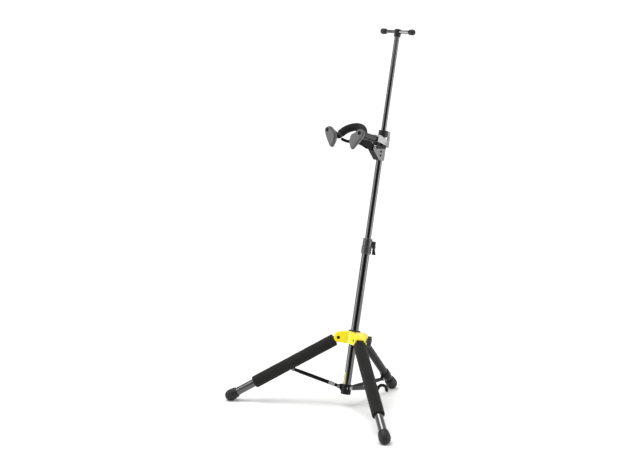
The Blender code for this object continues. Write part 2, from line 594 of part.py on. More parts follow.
def build_trip_lever(mast, mats):
    """Forked lever under the yoke with a bail rod between the two prongs."""
    axis = empty("trip_axis", mast, (0, *TRIP_PIVOT))

    def side_view(points):
        return [(y - TRIP_PIVOT[0], s - TRIP_PIVOT[1]) for y, s in points]

    stem = side_view([(-0.1135, 0.8735), (-0.1230, 0.8705), (-0.1650, 0.8690), (-0.1650, 0.8600),
                      (-0.1230, 0.8608), (-0.1135, 0.8612)])
    lever = add("trip_lever", plate(stem, -0.0050, 0.0050, "X"), axis, mats["trip_lever"])
    block = side_view([(-0.1128, 0.8612), (-0.1128, 0.8755), (-0.1170, 0.8745), (-0.1225, 0.8712),
                       (-0.1225, 0.8605)])
    combine(lever, plate(block, -0.0095, 0.0095, "X"), "UNION")
    cheek = side_view([(-0.0478, 0.8642), (-0.0590, 0.8725), (-0.0740, 0.8775), (-0.0950, 0.8790),
                       (-0.1150, 0.8752), (-0.1190, 0.8720), (-0.1190, 0.8610), (-0.1000, 0.8590),
                       (-0.0700, 0.8505), (-0.0560, 0.8530), (-0.0478, 0.8560)])
    for low, high in ((-0.0095, -0.0075), (0.0075, 0.0095)):
        combine(lever, plate(cheek, low, high, "X"), "UNION")
    combine(lever, turned(cylinder(0.0052, -0.0095, 0.0095), along("X"), 20), "UNION")
    route = [(-0.0425, -0.1690, 0.8718), (-0.0385, -0.1682, 0.8690), (-0.0220, -0.1670, 0.8655),
             (0, -0.1665, 0.8645), (0.0220, -0.1670, 0.8655), (0.0385, -0.1682, 0.8690),
             (0.0425, -0.1690, 0.8718)]
    bail = smooth_path([(x, y - TRIP_PIVOT[0], s - TRIP_PIVOT[1]) for x, y, s in route], 4)
    radii = [0.0036] + [0.0045] * (len(bail) - 2) + [0.0036]
    combine(lever, sweep(bail, radii, 8), "UNION")
    combine(lever, turned(cylinder(0.0028, -0.02, 0.02), along("X"), SMALL), "DIFFERENCE")


def build_yoke_head(mast, mats):
    axis = empty("yoke_axis", mast, (0, *YOKE_PIVOT))

    def at(y, s):
        return y - YOKE_PIVOT[0], s - YOKE_PIVOT[1]

    profile = [at(-0.0430, 0.8815), at(-0.0415, 0.9015), at(-0.0385, 0.9055), at(-0.0290, 0.9055),
               at(0.0040, 0.8945), at(0.0112, 0.8880), at(0.0112, 0.8745), at(0.0040, 0.8735),
               at(-0.0120, 0.8770)]
    hood = add("yoke_hood", plate(profile, -0.0158, 0.0158, "X"), axis, mats["hood"])
    pocket = [at(-0.0402, 0.8600), at(-0.0390, 0.9010), at(-0.0290, 0.9025), at(-0.0185, 0.8990),
              at(-0.0185, 0.93), at(0.03, 0.93), at(0.03, 0.8600)]
    combine(hood, plate(pocket, -0.0138, 0.0138, "X"), "DIFFERENCE")
    rib = [at(-0.0382, 0.8765), at(-0.0382, 0.9040), at(-0.0290, 0.9040), at(-0.0180, 0.9005),
           at(-0.0180, 0.8745)]
    combine(hood, plate(rib, -0.0040, 0.0040, "X"), "UNION")
    combine(hood, turned(cylinder(0.0026, -0.02, 0.02), along("X"), SMALL), "DIFFERENCE")
    socket = turned(cylinder(0.0096, 0.0, 0.03), along("Y", (0, *at(-0.0686, 0.8925))), 20)
    combine(hood, socket, "DIFFERENCE")
    build_yoke_arm(axis, mats, at)


def arch_point(angle, radius=ARCH_R):
    """Point on the padded arch, in the mast's frame; angle 0 is its back."""
    across = radius * math.cos(angle)
    return Vector((radius * math.sin(angle), ARCH_CENTRE[0] + across * math.cos(ARCH_TILT),
                   ARCH_CENTRE[1] + across * math.sin(ARCH_TILT)))


def build_yoke_arm(axis, mats, at):
    """Arm from the hood to the arch, the arch tube, its foam and the two prongs."""
    shift = Vector((0, -YOKE_PIVOT[0], -YOKE_PIVOT[1]))
    back = arch_point(0)
    spigot = [Vector((0, y, 0.8925)) for y in (-0.0392, -0.0435, -0.0436)]
    route = spigot + smooth_path([(0, -0.0500, 0.8925), (0, -0.066, 0.8925), (0, -0.098, 0.8960),
                                  (0, -0.125, 0.9060), back], 5)
    radii = [0.0091, 0.0091] + [0.0112] * (len(route) - 2)
    for i in range(5):
        radii[-1 - i] = 0.0070 + 0.0008 * i
    arm = add("yoke_arm", sweep([p + shift for p in route], radii, 14), axis, mats["yoke_arm"])
    arch = [arch_point(math.radians(a)) + shift for a in range(-96, 97, 16)]
    combine(arm, sweep(arch, [ARCH_TUBE_R] * len(arch), 12), "UNION")
    rib = [at(-0.0600, 0.8925), at(-0.0800, 0.8938), at(-0.0980, 0.8960), at(-0.1120, 0.9010),
           at(-0.1120, 0.8795), at(-0.1080, 0.8738), at(-0.1000, 0.8720), at(-0.0660, 0.8720),
           at(-0.0600, 0.8745)]
    combine(arm, plate(rib, -0.0040, 0.0040, "X"), "UNION")
    foam_path = [arch_point(math.radians(a)) + shift for a in range(-88, 89, 16)]
    radii = [ARCH_FOAM_R] * len(foam_path)
    radii[0] = radii[-1] = ARCH_FOAM_R - 0.0022
    ends = [arch_point(math.radians(a)) + shift for a in (-86.5, 86.5)]
    foam_path.insert(1, ends[0])
    foam_path.insert(-1, ends[1])
    radii = [radii[0], ARCH_FOAM_R] + radii[1:-1] + [ARCH_FOAM_R, radii[-1]]
    foam = add("arch_foam", sweep(foam_path, radii, 16), axis, mats["foam"])
    core = [arch_point(math.radians(a)) + shift for a in range(-112, 113, 16)]
    combine(foam, sweep(core, [ARCH_TUBE_R + 0.0005] * len(core), 12), "DIFFERENCE")
    stem = route[-9:]
    stem_end = stem[-1] + (stem[-1] - stem[-2]) * 0.1
    stem_path = [p + shift for p in stem[:-1] + [stem_end]]
    combine(foam, sweep(stem_path, [0.0122] * len(stem), 14), "DIFFERENCE")
    for side, sign in (("left", -1), ("right", 1)):
        build_prong(side, sign, axis, shift, mats)


def build_prong(side, sign, axis, shift, mats):
    """Moulded end piece on the arch that carries a gate."""
    tip = arch_point(math.radians(90 * sign))
    ahead = arch_point(math.radians(100 * sign))
    pivot = Vector((sign * GATE_PIVOT[0], GATE_PIVOT[1], GATE_PIVOT[2]))
    face = pivot + Vector((0, GATE_THICK / 2 + GAP, 0))
    knee = Vector((sign * 0.0550, -0.1925, 0.8835))
    route = smooth_path([tip + (ahead - tip) * 0.15, ahead + Vector((sign * 0.001, -0.002, 0.001)), knee,
                         face + Vector((0, 0.0065, -0.001)), face + Vector((0, 0.0012, 0))], 4)
    radii = [0.0112] * 5 + [0.0102] * 4 + [0.0092] * 4 + [0.0082] * 4
    prong = add(f"prong_{side}", sweep([p + shift for p in route], radii, 16), axis, mats["prong"])
    core = [arch_point(math.radians(a * sign)) + shift for a in (64, 80, 96, 112)]
    combine(prong, sweep(core, [ARCH_TUBE_R + GAP] * len(core), 12), "DIFFERENCE")
    splay = Matrix.Rotation(sign * GATE_SPLAY, 4, "Z")
    place = Matrix.Translation(pivot + shift) @ splay @ along("Y")
    combine(prong, turned(cylinder(0.0033, 0.0, 0.0300), place, SMALL), "DIFFERENCE")
    cut = box((-0.03, -0.06, -0.03), (0.03, GATE_THICK / 2 + GAP, 0.03))
    cut.transform(Matrix.Translation(pivot + shift) @ splay)
    combine(prong, cut, "DIFFERENCE")
    pin = turned(cylinder(0.0030, -0.0052, 0.0185, 0.0004), place, SMALL)
    add(f"gate_pin_{side}", pin, axis, mats["rivet"])
    build_gate(side, sign, axis, pivot + shift, mats)


def build_gate(side, sign, axis, place, mats):
    """Shield-shaped gate that hangs from its pin and swings in under the neck."""
    pivot = empty(f"gate_{side}_axis", axis, place, (0, 0, sign * GATE_SPLAY))
    hang = empty(f"gate_{side}_hang", pivot, (0, 0, 0), (0, sign * GATE_HANG, 0))
    rim = [(-0.0085, -0.0180), (-0.0122, -0.0040), (-0.0118, 0.0030), (-0.0080, 0.0084),
           (-0.0010, 0.0108), (0.0060, 0.0102), (0.0120, 0.0055), (0.0170, -0.0035), (0.0220, -0.0090),
           (0.0275, -0.0130), (0.0297, -0.0220), (0.0288, -0.0340), (0.0250, -0.0440),
           (0.0170, -0.0540), (0.0120, -0.0595), (0.0085, -0.0585), (0.0035, -0.0470),
           (-0.0020, -0.0350)]
    outline = [(-sign * x, z) for x, z in rim]
    half = GATE_THICK / 2
    bm = plate(outline, -half, half, "Y")
    gate = add(f"gate_{side}", bm, hang, mats["gate"])
    bevel = gate.modifiers.new("Edges", "BEVEL")
    bevel.width = 0.0016
    bevel.segments = 2
    bevel.limit_method = "ANGLE"
    bevel.angle_limit = math.radians(60)
    combine(gate, turned(cylinder(0.0033, -0.02, 0.02), along("Y"), SMALL), "DIFFERENCE")
    combine(gate, turned(cylinder(0.0052, -0.02, -half + 0.0022), along("Y"), 20), "DIFFERENCE")


# ---------------------------------------------------------------- assembly
def build_materials():
    table = {
        "gloss_black_tube": ((0.012, 0.012, 0.013), 0.18, 0.0),
        "leg_tube_back": ((0.045, 0.046, 0.047), 0.42, 0.0),
        "end_plug": ((0.02, 0.02, 0.02), 0.6, 0.0),
        "base_bracket": ((0.018, 0.018, 0.019), 0.28, 0.0),
        "rivet": ((0.32, 0.32, 0.33), 0.32, 1.0),
        "hook": ((0.015, 0.015, 0.015), 0.5, 0.0),
        "clutch": ((0.075, 0.076, 0.078), 0.42, 0.0),
        "lever": ((0.05, 0.05, 0.052), 0.45, 0.0),
        "bush": ((0.02, 0.02, 0.021), 0.5, 0.0),
        "cap": ((0.035, 0.035, 0.036), 0.5, 0.0),
        "hub_yellow": ((0.90, 0.68, 0.03), 0.35, 0.0),
        "knob": ((0.10, 0.10, 0.10), 0.55, 0.0),
        "leg_fitting": ((0.03, 0.02, 0.02), 0.5, 0.0),
        "foot_rubber": ((0.09, 0.09, 0.09), 0.7, 0.0),
        "strut_clamp": ((0.03, 0.03, 0.031), 0.4, 0.0),
        "strut": ((0.02, 0.02, 0.021), 0.3, 0.0),
        "foam": ((0.045, 0.044, 0.042), 0.95, 0.0),
        "bracket": ((0.30, 0.30, 0.30), 0.45, 0.0),
        "trip_lever": ((0.04, 0.04, 0.04), 0.4, 0.0),
        "hood": ((0.20, 0.20, 0.20), 0.4, 0.0),
        "yoke_arm": ((0.13, 0.13, 0.13), 0.45, 0.0),
        "prong": ((0.02, 0.02, 0.02), 0.5, 0.0),
        "gate": ((0.19, 0.19, 0.19), 0.5, 0.0),
    }
    return {name: make_material(name, *values) for name, values in table.items()}


def build():
    clear_scene()
    mats = build_materials()
    mast = empty("mast", None, (0, MAST_FOOT_Y, mast_foot_height()), (-LEAN, 0, 0))
    build_lower_mast(mast, mats)
    build_base_bracket(mast, mats)
    build_floor_hook(mast, mats)
    build_clutch(mast, mats)
    build_upper_mast(mast, mats)
    build_top_clamp(mast, mats)
    build_bow_hanger(mast, mats)
    hub = build_hub(mast, mats)
    for side in LEGS:
        build_leg(side, hub, mats)
    build_yoke_bracket(mast, mats)
    build_trip_lever(mast, mats)
    build_yoke_head(mast, mats)


build()
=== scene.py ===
"""Detailed look of the folding cello stand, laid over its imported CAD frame."""
import json
import math

import bmesh
import bpy
from mathutils import Matrix, Vector, noise


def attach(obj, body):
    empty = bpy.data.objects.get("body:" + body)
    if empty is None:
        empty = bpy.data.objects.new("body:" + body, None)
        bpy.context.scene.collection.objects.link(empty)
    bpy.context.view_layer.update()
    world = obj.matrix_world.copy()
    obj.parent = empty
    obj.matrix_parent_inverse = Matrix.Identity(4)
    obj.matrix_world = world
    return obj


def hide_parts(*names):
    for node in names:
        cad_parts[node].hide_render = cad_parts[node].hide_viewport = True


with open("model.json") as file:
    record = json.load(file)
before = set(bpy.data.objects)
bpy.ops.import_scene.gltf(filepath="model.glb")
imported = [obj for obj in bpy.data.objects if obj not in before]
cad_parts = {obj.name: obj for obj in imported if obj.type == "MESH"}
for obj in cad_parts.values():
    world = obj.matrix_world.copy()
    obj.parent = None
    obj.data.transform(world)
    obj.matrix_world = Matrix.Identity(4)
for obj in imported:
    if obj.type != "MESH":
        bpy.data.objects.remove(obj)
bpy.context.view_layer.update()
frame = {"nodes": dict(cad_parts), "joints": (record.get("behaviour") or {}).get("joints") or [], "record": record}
JOINTS = {joint["name"]: joint for joint in frame["joints"]}
BODY_OF = {node: body for body, nodes in frame["record"]["behaviour"]["bodies"].items() for node in nodes}
SLOT_OF = {part["node"]: part["material_slot"] for part in frame["record"]["subparts"]}
SIDES = 96

# ---------------------------------------------------------------- dimensions, as in the CAD
GAP = 0.0003
LOWER_R, LOWER_WALL, LOWER_TOP = 0.0143, 0.0015, 0.5385
MIDDLE_R, MIDDLE_WALL, MIDDLE_LOW, MIDDLE_TOP = 0.0111, 0.0012, 0.400, 0.905
ROD_R, ROD_WALL, ROD_LOW, ROD_TOP = 0.0090, 0.0012, 0.760, 1.2635
HUB_S, LEG_PIVOT_R = 0.1853, 0.0512
LEG_R, LEG_WALL, LEG_START = 0.0145, 0.0015, 0.0175
SPREAD = math.radians(58.7)
LEGS = {"left": -SPREAD, "right": SPREAD, "back": math.pi}
STRUT_AT = {"left": 0.198, "right": 0.198, "back": 0.208}
STRUT_OFFSET = 0.0235
FOAM_R, FOAM_START, FOAM_END = 0.0222, 0.0185, 0.345
FOOT_R = 0.0203
BASE_PIVOT = (0.027, 0.0145)
KNOB_DIRECTION, CLAMP_DIRECTION = math.radians(120), math.radians(150)
YOKE_PIVOT, TRIP_PIVOT = (0.004, 0.880), (-0.052, 0.860)
ARCH_CENTRE, ARCH_R, ARCH_TILT = (-0.178, 0.885), 0.046, math.radians(46)
ARCH_TUBE_R, ARCH_FOAM_R = 0.006, 0.0140
GATE_PIVOT, GATE_THICK, GATE_HANG = (0.0694, -0.2119, 0.8945), 0.018, math.radians(14)
HANGER_S, HANGER_R, HANGER_KNOB_X = 1.272, 0.006, 0.061
CAMERA_TURN = math.radians(40.9)


# ---------------------------------------------------------------- frames of the moving pieces
def node_points(node):
    return [v.co for v in frame["nodes"][node].data.vertices]


def mean(points):
    return sum(points, Vector()) / len(points)


def basis(origin, x, y, z):
    matrix = Matrix((x, y, z)).transposed().to_4x4()
    matrix.translation = origin
    return matrix


def mast_frame():
    up = Vector(JOINTS["hub_slide"]["axis"]).normalized()
    on_axis = Vector(JOINTS["hub_knob_turn"]["pos_m"])
    low = min(p.dot(up) for p in node_points("lower_mast_tube"))
    across = Vector((1, 0, 0))
    return basis(on_axis - up * (on_axis.dot(up) - low), across, up.cross(across), up)


MAST = mast_frame()
UP = MAST.col[2].to_3d()


def hanging_frame(joint, sign, node):
    """Frame at a hinge: +Y along its axis, -Z towards the middle of a node."""
    origin = Vector(JOINTS[joint]["pos_m"])
    y = Vector(JOINTS[joint]["axis"]).normalized() * sign
    z = origin - mean(node_points(node))
    z = (z - y * z.dot(y)).normalized()
    return basis(origin, y.cross(z), y, z)


def upright_frame(joint, sign):
    origin = Vector(JOINTS[joint]["pos_m"])
    y = Vector(JOINTS[joint]["axis"]).normalized() * sign
    return basis(origin, y.cross(UP), y, UP)


def turn_to(angle):
    """Turns +X onto a direction around the mast; 0 is the front, positive towards +X."""
    return Matrix.Rotation(angle - math.pi / 2, 4, "Z")


def along(axis, origin=(0, 0, 0)):
    """Matrix that turns +Z onto X or Y and moves it to an origin."""
    turn = {"X": Matrix.Rotation(math.pi / 2, 4, "Y"), "Y": Matrix.Rotation(-math.pi / 2, 4, "X"),
            "Z": Matrix.Identity(4)}[axis]
    return Matrix.Translation(origin) @ turn


# ---------------------------------------------------------------- shapes
def arc(centre, radius, start, end, count):
    """Points on a circle, angles in degrees."""
    points = []
    for i in range(count):
        angle = math.radians(start + (end - start) * i / (count - 1))
        points.append((centre[0] + radius * math.cos(angle), centre[1] + radius * math.sin(angle)))
    return points


def rounded(points, radius, closed=True, steps=5):
    """The same outline with its corners rounded."""
    pts = [Vector(p) for p in points]
    out = []
    count = len(pts)
    for i, corner in enumerate(pts):
        if not closed and i in (0, count - 1):
            out.append(corner)
            continue
        back = pts[i - 1] - corner
        ahead = pts[(i + 1) % count] - corner
        reach = min(radius, back.length * 0.45, ahead.length * 0.45)
        start = corner + back.normalized() * reach
        end = corner + ahead.normalized() * reach
        for k in range(steps + 1):
            t = k / steps
            out.append(start * (1 - t) ** 2 + corner * 2 * t * (1 - t) + end * t * t)
    return [tuple(p) for p in out]


def loft(rings, place, closed=False):
    """Skin over rings of equal length; a ring of one point closes the end."""
    bm = bmesh.new()
    made = [[bm.verts.new(place @ Vector(p)) for p in ring] for ring in rings]
    pairs = list(zip(made, made[1:]))
    if closed:
        pairs.append((made[-1], made[0]))
    for low, high in pairs:
        count = max(len(low), len(high))
        for i in range(count):
            j = (i + 1) % count
            corners = [low[i % len(low)], low[j % len(low)], high[j % len(high)], high[i % len(high)]]
            unique = list(dict.fromkeys(corners))
            if len(unique) > 2:
                bm.faces.new(unique)
    if not closed:
        for ring in (made[0], made[-1]):
            if len(ring) > 2:
                bm.faces.new(ring)
    return bm


def turned(profile, place, sides=SIDES, shape=None):
    """Revolves (radius, height) points about Z; a profile off the axis makes a ring."""
    rings = []
    for radius, height in profile:
        if radius < 1e-7:
            rings.append([(0, 0, height)])
            continue
        ring = []
        for i in range(sides):
            angle = 2 * math.pi * i / sides
            r, z = shape(radius, height, angle) if shape else (radius, height)
            ring.append((r * math.cos(angle), r * math.sin(angle), z))
        rings.append(ring)
    return loft(rings, place, closed=profile[0][0] > 1e-7)


def pipe(radius, inner, low, high, edge=0.0004):
    """Closed profile of a tube with rolled ends."""
    return rounded([(inner, low), (radius, low), (radius, high), (inner, high)], edge, steps=4)


def rod(radius, low, high, edge=0.0005):
    """Profile of a solid round bar with rounded ends."""
    corners = [(0, low), (radius, low), (radius, high), (0, high)]
    return rounded(corners, edge, closed=False, steps=4)


def peg(radius, low, high, place, sides, edge=0.0005):
    """Solid round bar along Z."""
    return turned(rod(radius, low, high, edge), place, sides)


def spin(points, corner, place, sides=SIDES):
    """Solid of revolution from an open profile that starts and ends on Z."""
    return turned(rounded(points, corner, closed=False), place, sides)


def slab(outline, layers, place):
    """Stack of copies of an outline; layers are (depth along Z, inset)."""
    pts = [Vector(p) for p in outline]
    count = len(pts)
    area = sum(a.x * b.y - a.y * b.x for a, b in zip(pts, pts[1:] + pts[:1]))
    sign = 1 if area > 0 else -1
    normals = []
    for i in range(count):
        tangent = (pts[(i + 1) % count] - pts[i - 1]).normalized()
        normals.append(Vector((tangent.y, -tangent.x)) * sign)
    rings = []
    for depth, inset in layers:
        rings.append([(*(p - n * inset), depth) for p, n in zip(pts, normals)])
    return loft(rings, place)


def soft_layers(low, high, edge, steps=4):
    """Layers of a slab whose two rims are rounded."""
    layers = []
    for k in range(steps + 1):
        angle = math.pi / 2 * k / steps
        layers.append((low + edge * (1 - math.sin(angle)), edge * (1 - math.cos(angle))))
    layers.sort()
    return layers + [(high - (depth - low), inset) for depth, inset in layers[::-1]]


def plate(outline, low, high, axis, place, edge=0.0004, corner=0.0):
    """Rounded plate. Its points are (y, z), (x, z) or (x, y) for axis X, Y or Z."""
    swap = {"X": Matrix(((0, 0, 1, 0), (1, 0, 0, 0), (0, 1, 0, 0), (0, 0, 0, 1))),
            "Y": Matrix(((1, 0, 0, 0), (0, 0, 1, 0), (0, 1, 0, 0), (0, 0, 0, 1))),
            "Z": Matrix.Identity(4)}[axis]
    if corner:
        outline = rounded(outline, max(corner, 2 * edge))
    layers = soft_layers(low, high, edge) if edge else [(low, 0), (high, 0)]
    return slab(outline, layers, place @ swap)


def box(low, high, place, edge=0.0003):
    outline = [(low[0], low[1]), (high[0], low[1]), (high[0], high[1]), (low[0], high[1])]
    return plate(outline, low[2], high[2], "Z", place, edge, corner=2 * edge)


def smooth_path(points, steps):
    """Catmull-Rom curve through a few chosen points."""
    pts = [Vector(p) for p in points]
    pts = [pts[0] * 2 - pts[1]] + pts + [pts[-1] * 2 - pts[-2]]
    out = []
    for i in range(1, len(pts) - 2):
        a, b, c, d = pts[i - 1:i + 3]
        for k in range(steps):
            t = k / steps
            out.append(0.5 * (2 * b + (c - a) * t + (2 * a - 5 * b + 4 * c - d) * t * t
                              + (3 * b - a - 3 * c + d) * t ** 3))
    out.append(pts[-2])
    return out


def sweep(path, radii, place, sides=32, dome=True, shape=None):
    """Round bar along a path, with domed or flat rounded ends."""
    points = [Vector(p) for p in path]
    radii = list(radii) if hasattr(radii, "__len__") else [radii] * len(points)
    if dome:
        for end, step in ((0, 1), (-1, -1)):
            out = (points[end] - points[end + step]).normalized()
            radius = radii[end]
            points[end] = points[end] - out * radius
            inner = points[end]
            cap = [(inner + out * radius * math.sin(math.radians(a)), radius * math.cos(math.radians(a)))
                   for a in (25, 48, 68, 84)]
            for p, r in cap:
                if end == 0:
                    points.insert(0, p)
                    radii.insert(0, r)
                else:
                    points.append(p)
                    radii.append(r)
    side = None
    rings = []
    for i, point in enumerate(points):
        ahead = points[min(i + 1, len(points) - 1)] - points[max(i - 1, 0)]
        ahead.normalize()
        if side is None:
            side = ahead.orthogonal().normalized()
        side = (side - ahead * side.dot(ahead)).normalized()
        other = ahead.cross(side)
        ring = []
        for k in range(sides):
            angle = 2 * math.pi * k / sides
            r = radii[i]
            if shape:
                r = shape(r, i / (len(points) - 1), angle)
            ring.append(point + (side * math.cos(angle) + other * math.sin(angle)) * r)
        rings.append(ring)
    return loft(rings, place)


# ---------------------------------------------------------------- objects
def to_object(name, bm):
    bmesh.ops.recalc_face_normals(bm, faces=bm.faces)
    mesh = bpy.data.meshes.new(name)
    bm.to_mesh(mesh)
    bm.free()
    obj = bpy.data.objects.new(name, mesh)
    bpy.context.scene.collection.objects.link(obj)
    return obj


def shade(obj, sharp=32):
    obj.data.shade_smooth()
    obj.data.set_sharp_from_angle(angle=math.radians(sharp))


def bake(obj):
    """Applies every modifier."""
    bpy.context.view_layer.update()
    evaluated = obj.evaluated_get(bpy.context.evaluated_depsgraph_get())
    mesh = bpy.data.meshes.new_from_object(evaluated)
    obj.modifiers.clear()
    obj.data = mesh


def fuse(name, added, cuts=(), voxel=None, rounds=4):
    """Union of the added shapes less the cuts; a voxel size softens every edge."""
    obj = to_object(name, added[0])
    tools = []
    for operation, shapes in (("UNION", added[1:]), ("DIFFERENCE", cuts)):
        for bm in shapes:
            tool = to_object(name + "_tool", bm)
            tools.append(tool)
            mod = obj.modifiers.new(operation, "BOOLEAN")
            mod.operation = operation
            mod.solver = "EXACT"
            mod.object = tool
    if voxel:
        mod = obj.modifiers.new("Remesh", "REMESH")
        mod.mode = "VOXEL"
        mod.voxel_size = voxel
        mod = obj.modifiers.new("Smooth", "SMOOTH")
        mod.iterations = rounds
        mod.factor = 0.5
    bake(obj)
    for tool in tools:
        bpy.data.objects.remove(tool, do_unlink=True)
    return obj


def place_piece(obj, body, slot_name, sharp=32):
    shade(obj, sharp)
    obj.data.materials.clear()
    obj.data.materials.append(finish(slot_name))
    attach(obj, body)
    return obj


def look(node, shape, sharp=32, tone=None):
    """A detailed piece that stands for one CAD node."""
    obj = shape if isinstance(shape, bpy.types.Object) else to_object(node + "_look", shape)
    obj.name = node + "_look"
    place_piece(obj, BODY_OF[node], tone or SLOT_OF[node], sharp)
    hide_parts(node)
    return obj


def merge(node, added, cuts=(), voxel=None, rounds=4, sharp=32, tone=None):
    """Fuses shapes into the piece that stands for a node."""
    return look(node, fuse(node, added, cuts, voxel, rounds), sharp, tone)


def extra(name, shape, body, finish_name, sharp=32):
    """A detail with no CAD node of its own."""
    obj = shape if isinstance(shape, bpy.types.Object) else to_object(name, shape)
    obj.name = name
    place_piece(obj, body, finish_name, sharp)
    return obj


def join(*shapes):
    """One bmesh out of several separate ones."""
    whole = shapes[0]
    for bm in shapes[1:]:
        mesh = bpy.data.meshes.new("part")
        bm.to_mesh(mesh)
        bm.free()
        whole.from_mesh(mesh)
        bpy.data.meshes.remove(mesh)
    return whole


# ---------------------------------------------------------------- materials
FINISHES = {
    # colour, roughness, metallic, coat, grain size (1/m), grain height (m), tone change
    "gloss_black_tube": ((0.006, 0.006, 0.007), 0.12, 0.0, 1.0, 900, 0.000006, 0.10),
    "leg_tube_back": ((0.011, 0.011, 0.012), 0.30, 0.0, 0.05, 900, 0.00001, 0.10),
    "end_plug": ((0.015, 0.015, 0.015), 0.6, 0.0, 0.0, 1500, 0.00003, 0.15),
    "base_bracket": ((0.006, 0.006, 0.007), 0.34, 0.0, 0.0, 900, 0.00001, 0.12),
    "rivet": ((0.34, 0.34, 0.35), 0.30, 1.0, 0.0, 2400, 0.00001, 0.15),
    "hook": ((0.008, 0.008, 0.008), 0.42, 0.0, 0.0, 1800, 0.00002, 0.12),
    "clutch": ((0.036, 0.037, 0.038), 0.20, 0.0, 0.8, 2200, 0.00001, 0.10),
    "lever": ((0.018, 0.018, 0.018), 0.36, 0.0, 0.1, 2200, 0.00003, 0.10),
    "bush": ((0.012, 0.012, 0.013), 0.45, 0.0, 0.0, 2000, 0.00002, 0.10),
    "cap": ((0.012, 0.012, 0.013), 0.45, 0.0, 0.0, 2000, 0.00003, 0.12),
    "hub_yellow": ((0.96, 0.80, 0.020), 0.20, 0.0, 0.8, 1600, 0.00002, 0.04),
    "knob": ((0.034, 0.033, 0.027), 0.45, 0.0, 0.0, 2200, 0.00004, 0.10),
    "leg_fitting": ((0.022, 0.015, 0.015), 0.45, 0.0, 0.0, 2000, 0.00003, 0.12),
    "foot_rubber": ((0.014, 0.014, 0.014), 0.44, 0.0, 0.0, 1800, 0.00005, 0.18),
    "strut_clamp": ((0.007, 0.007, 0.008), 0.34, 0.0, 0.0, 1200, 0.00002, 0.12),
    "strut": ((0.006, 0.006, 0.007), 0.34, 0.0, 0.0, 1100, 0.00001, 0.12),
    "foam": ((0.016, 0.0155, 0.015), 0.85, 0.0, 0.0, 1400, 0.00012, 0.25),
    "bracket": ((0.20, 0.20, 0.20), 0.42, 0.2, 0.0, 2000, 0.00002, 0.10),
    "trip_lever": ((0.006, 0.006, 0.006), 0.5, 0.0, 0.0, 1400, 0.00002, 0.12),
    "hood": ((0.46, 0.46, 0.46), 0.34, 0.0, 0.1, 2200, 0.00003, 0.08),
    "yoke_arm": ((0.026, 0.026, 0.026), 0.30, 0.0, 0.2, 2200, 0.00002, 0.10),
    "prong": ((0.010, 0.010, 0.010), 0.42, 0.0, 0.0, 2000, 0.00003, 0.12),
    "gate": ((0.105, 0.105, 0.105), 0.44, 0.0, 0.0, 2400, 0.00004, 0.08),
    # details with no slot of their own
    "stripe_gold": ((0.62, 0.50, 0.16), 0.35, 0.2, 0.4, 900, 0.00001, 0.08),
    "patch_silver": ((0.32, 0.33, 0.34), 0.34, 0.2, 0.2, 900, 0.00001, 0.08),
    "tag_cream": ((0.80, 0.76, 0.56), 0.6, 0.0, 0.0, 1500, 0.00002, 0.10),
    "lever_light": ((0.34, 0.34, 0.345), 0.28, 0.0, 0.3, 2200, 0.00003, 0.10),
    # Dark metal of pins and screws; also the colour of the sheets and block that paint shade on the bracket, hood
    # and gate grooves.
    "dark_metal_and_painted_shade": ((0.020, 0.020, 0.021), 0.45, 0.6, 0.0, 2400, 0.00001, 0.15),
    "spring_steel": ((0.06, 0.06, 0.065), 0.34, 1.0, 0.0, 2400, 0.00001, 0.15),
}


SPECULAR = {"gloss_black_tube": 1.0, "foam": 0.15, "foot_rubber": 0.3, "yoke_arm": 0.35, "trip_lever": 0.1,
            "base_bracket": 0.2, "knob": 0.3, "prong": 0.35, "hook": 0.2, "cap": 0.35, "strut": 0.2,
            "strut_clamp": 0.2, "leg_fitting": 0.3, "leg_tube_back": 0.3, "dark_metal_and_painted_shade": 0.2}


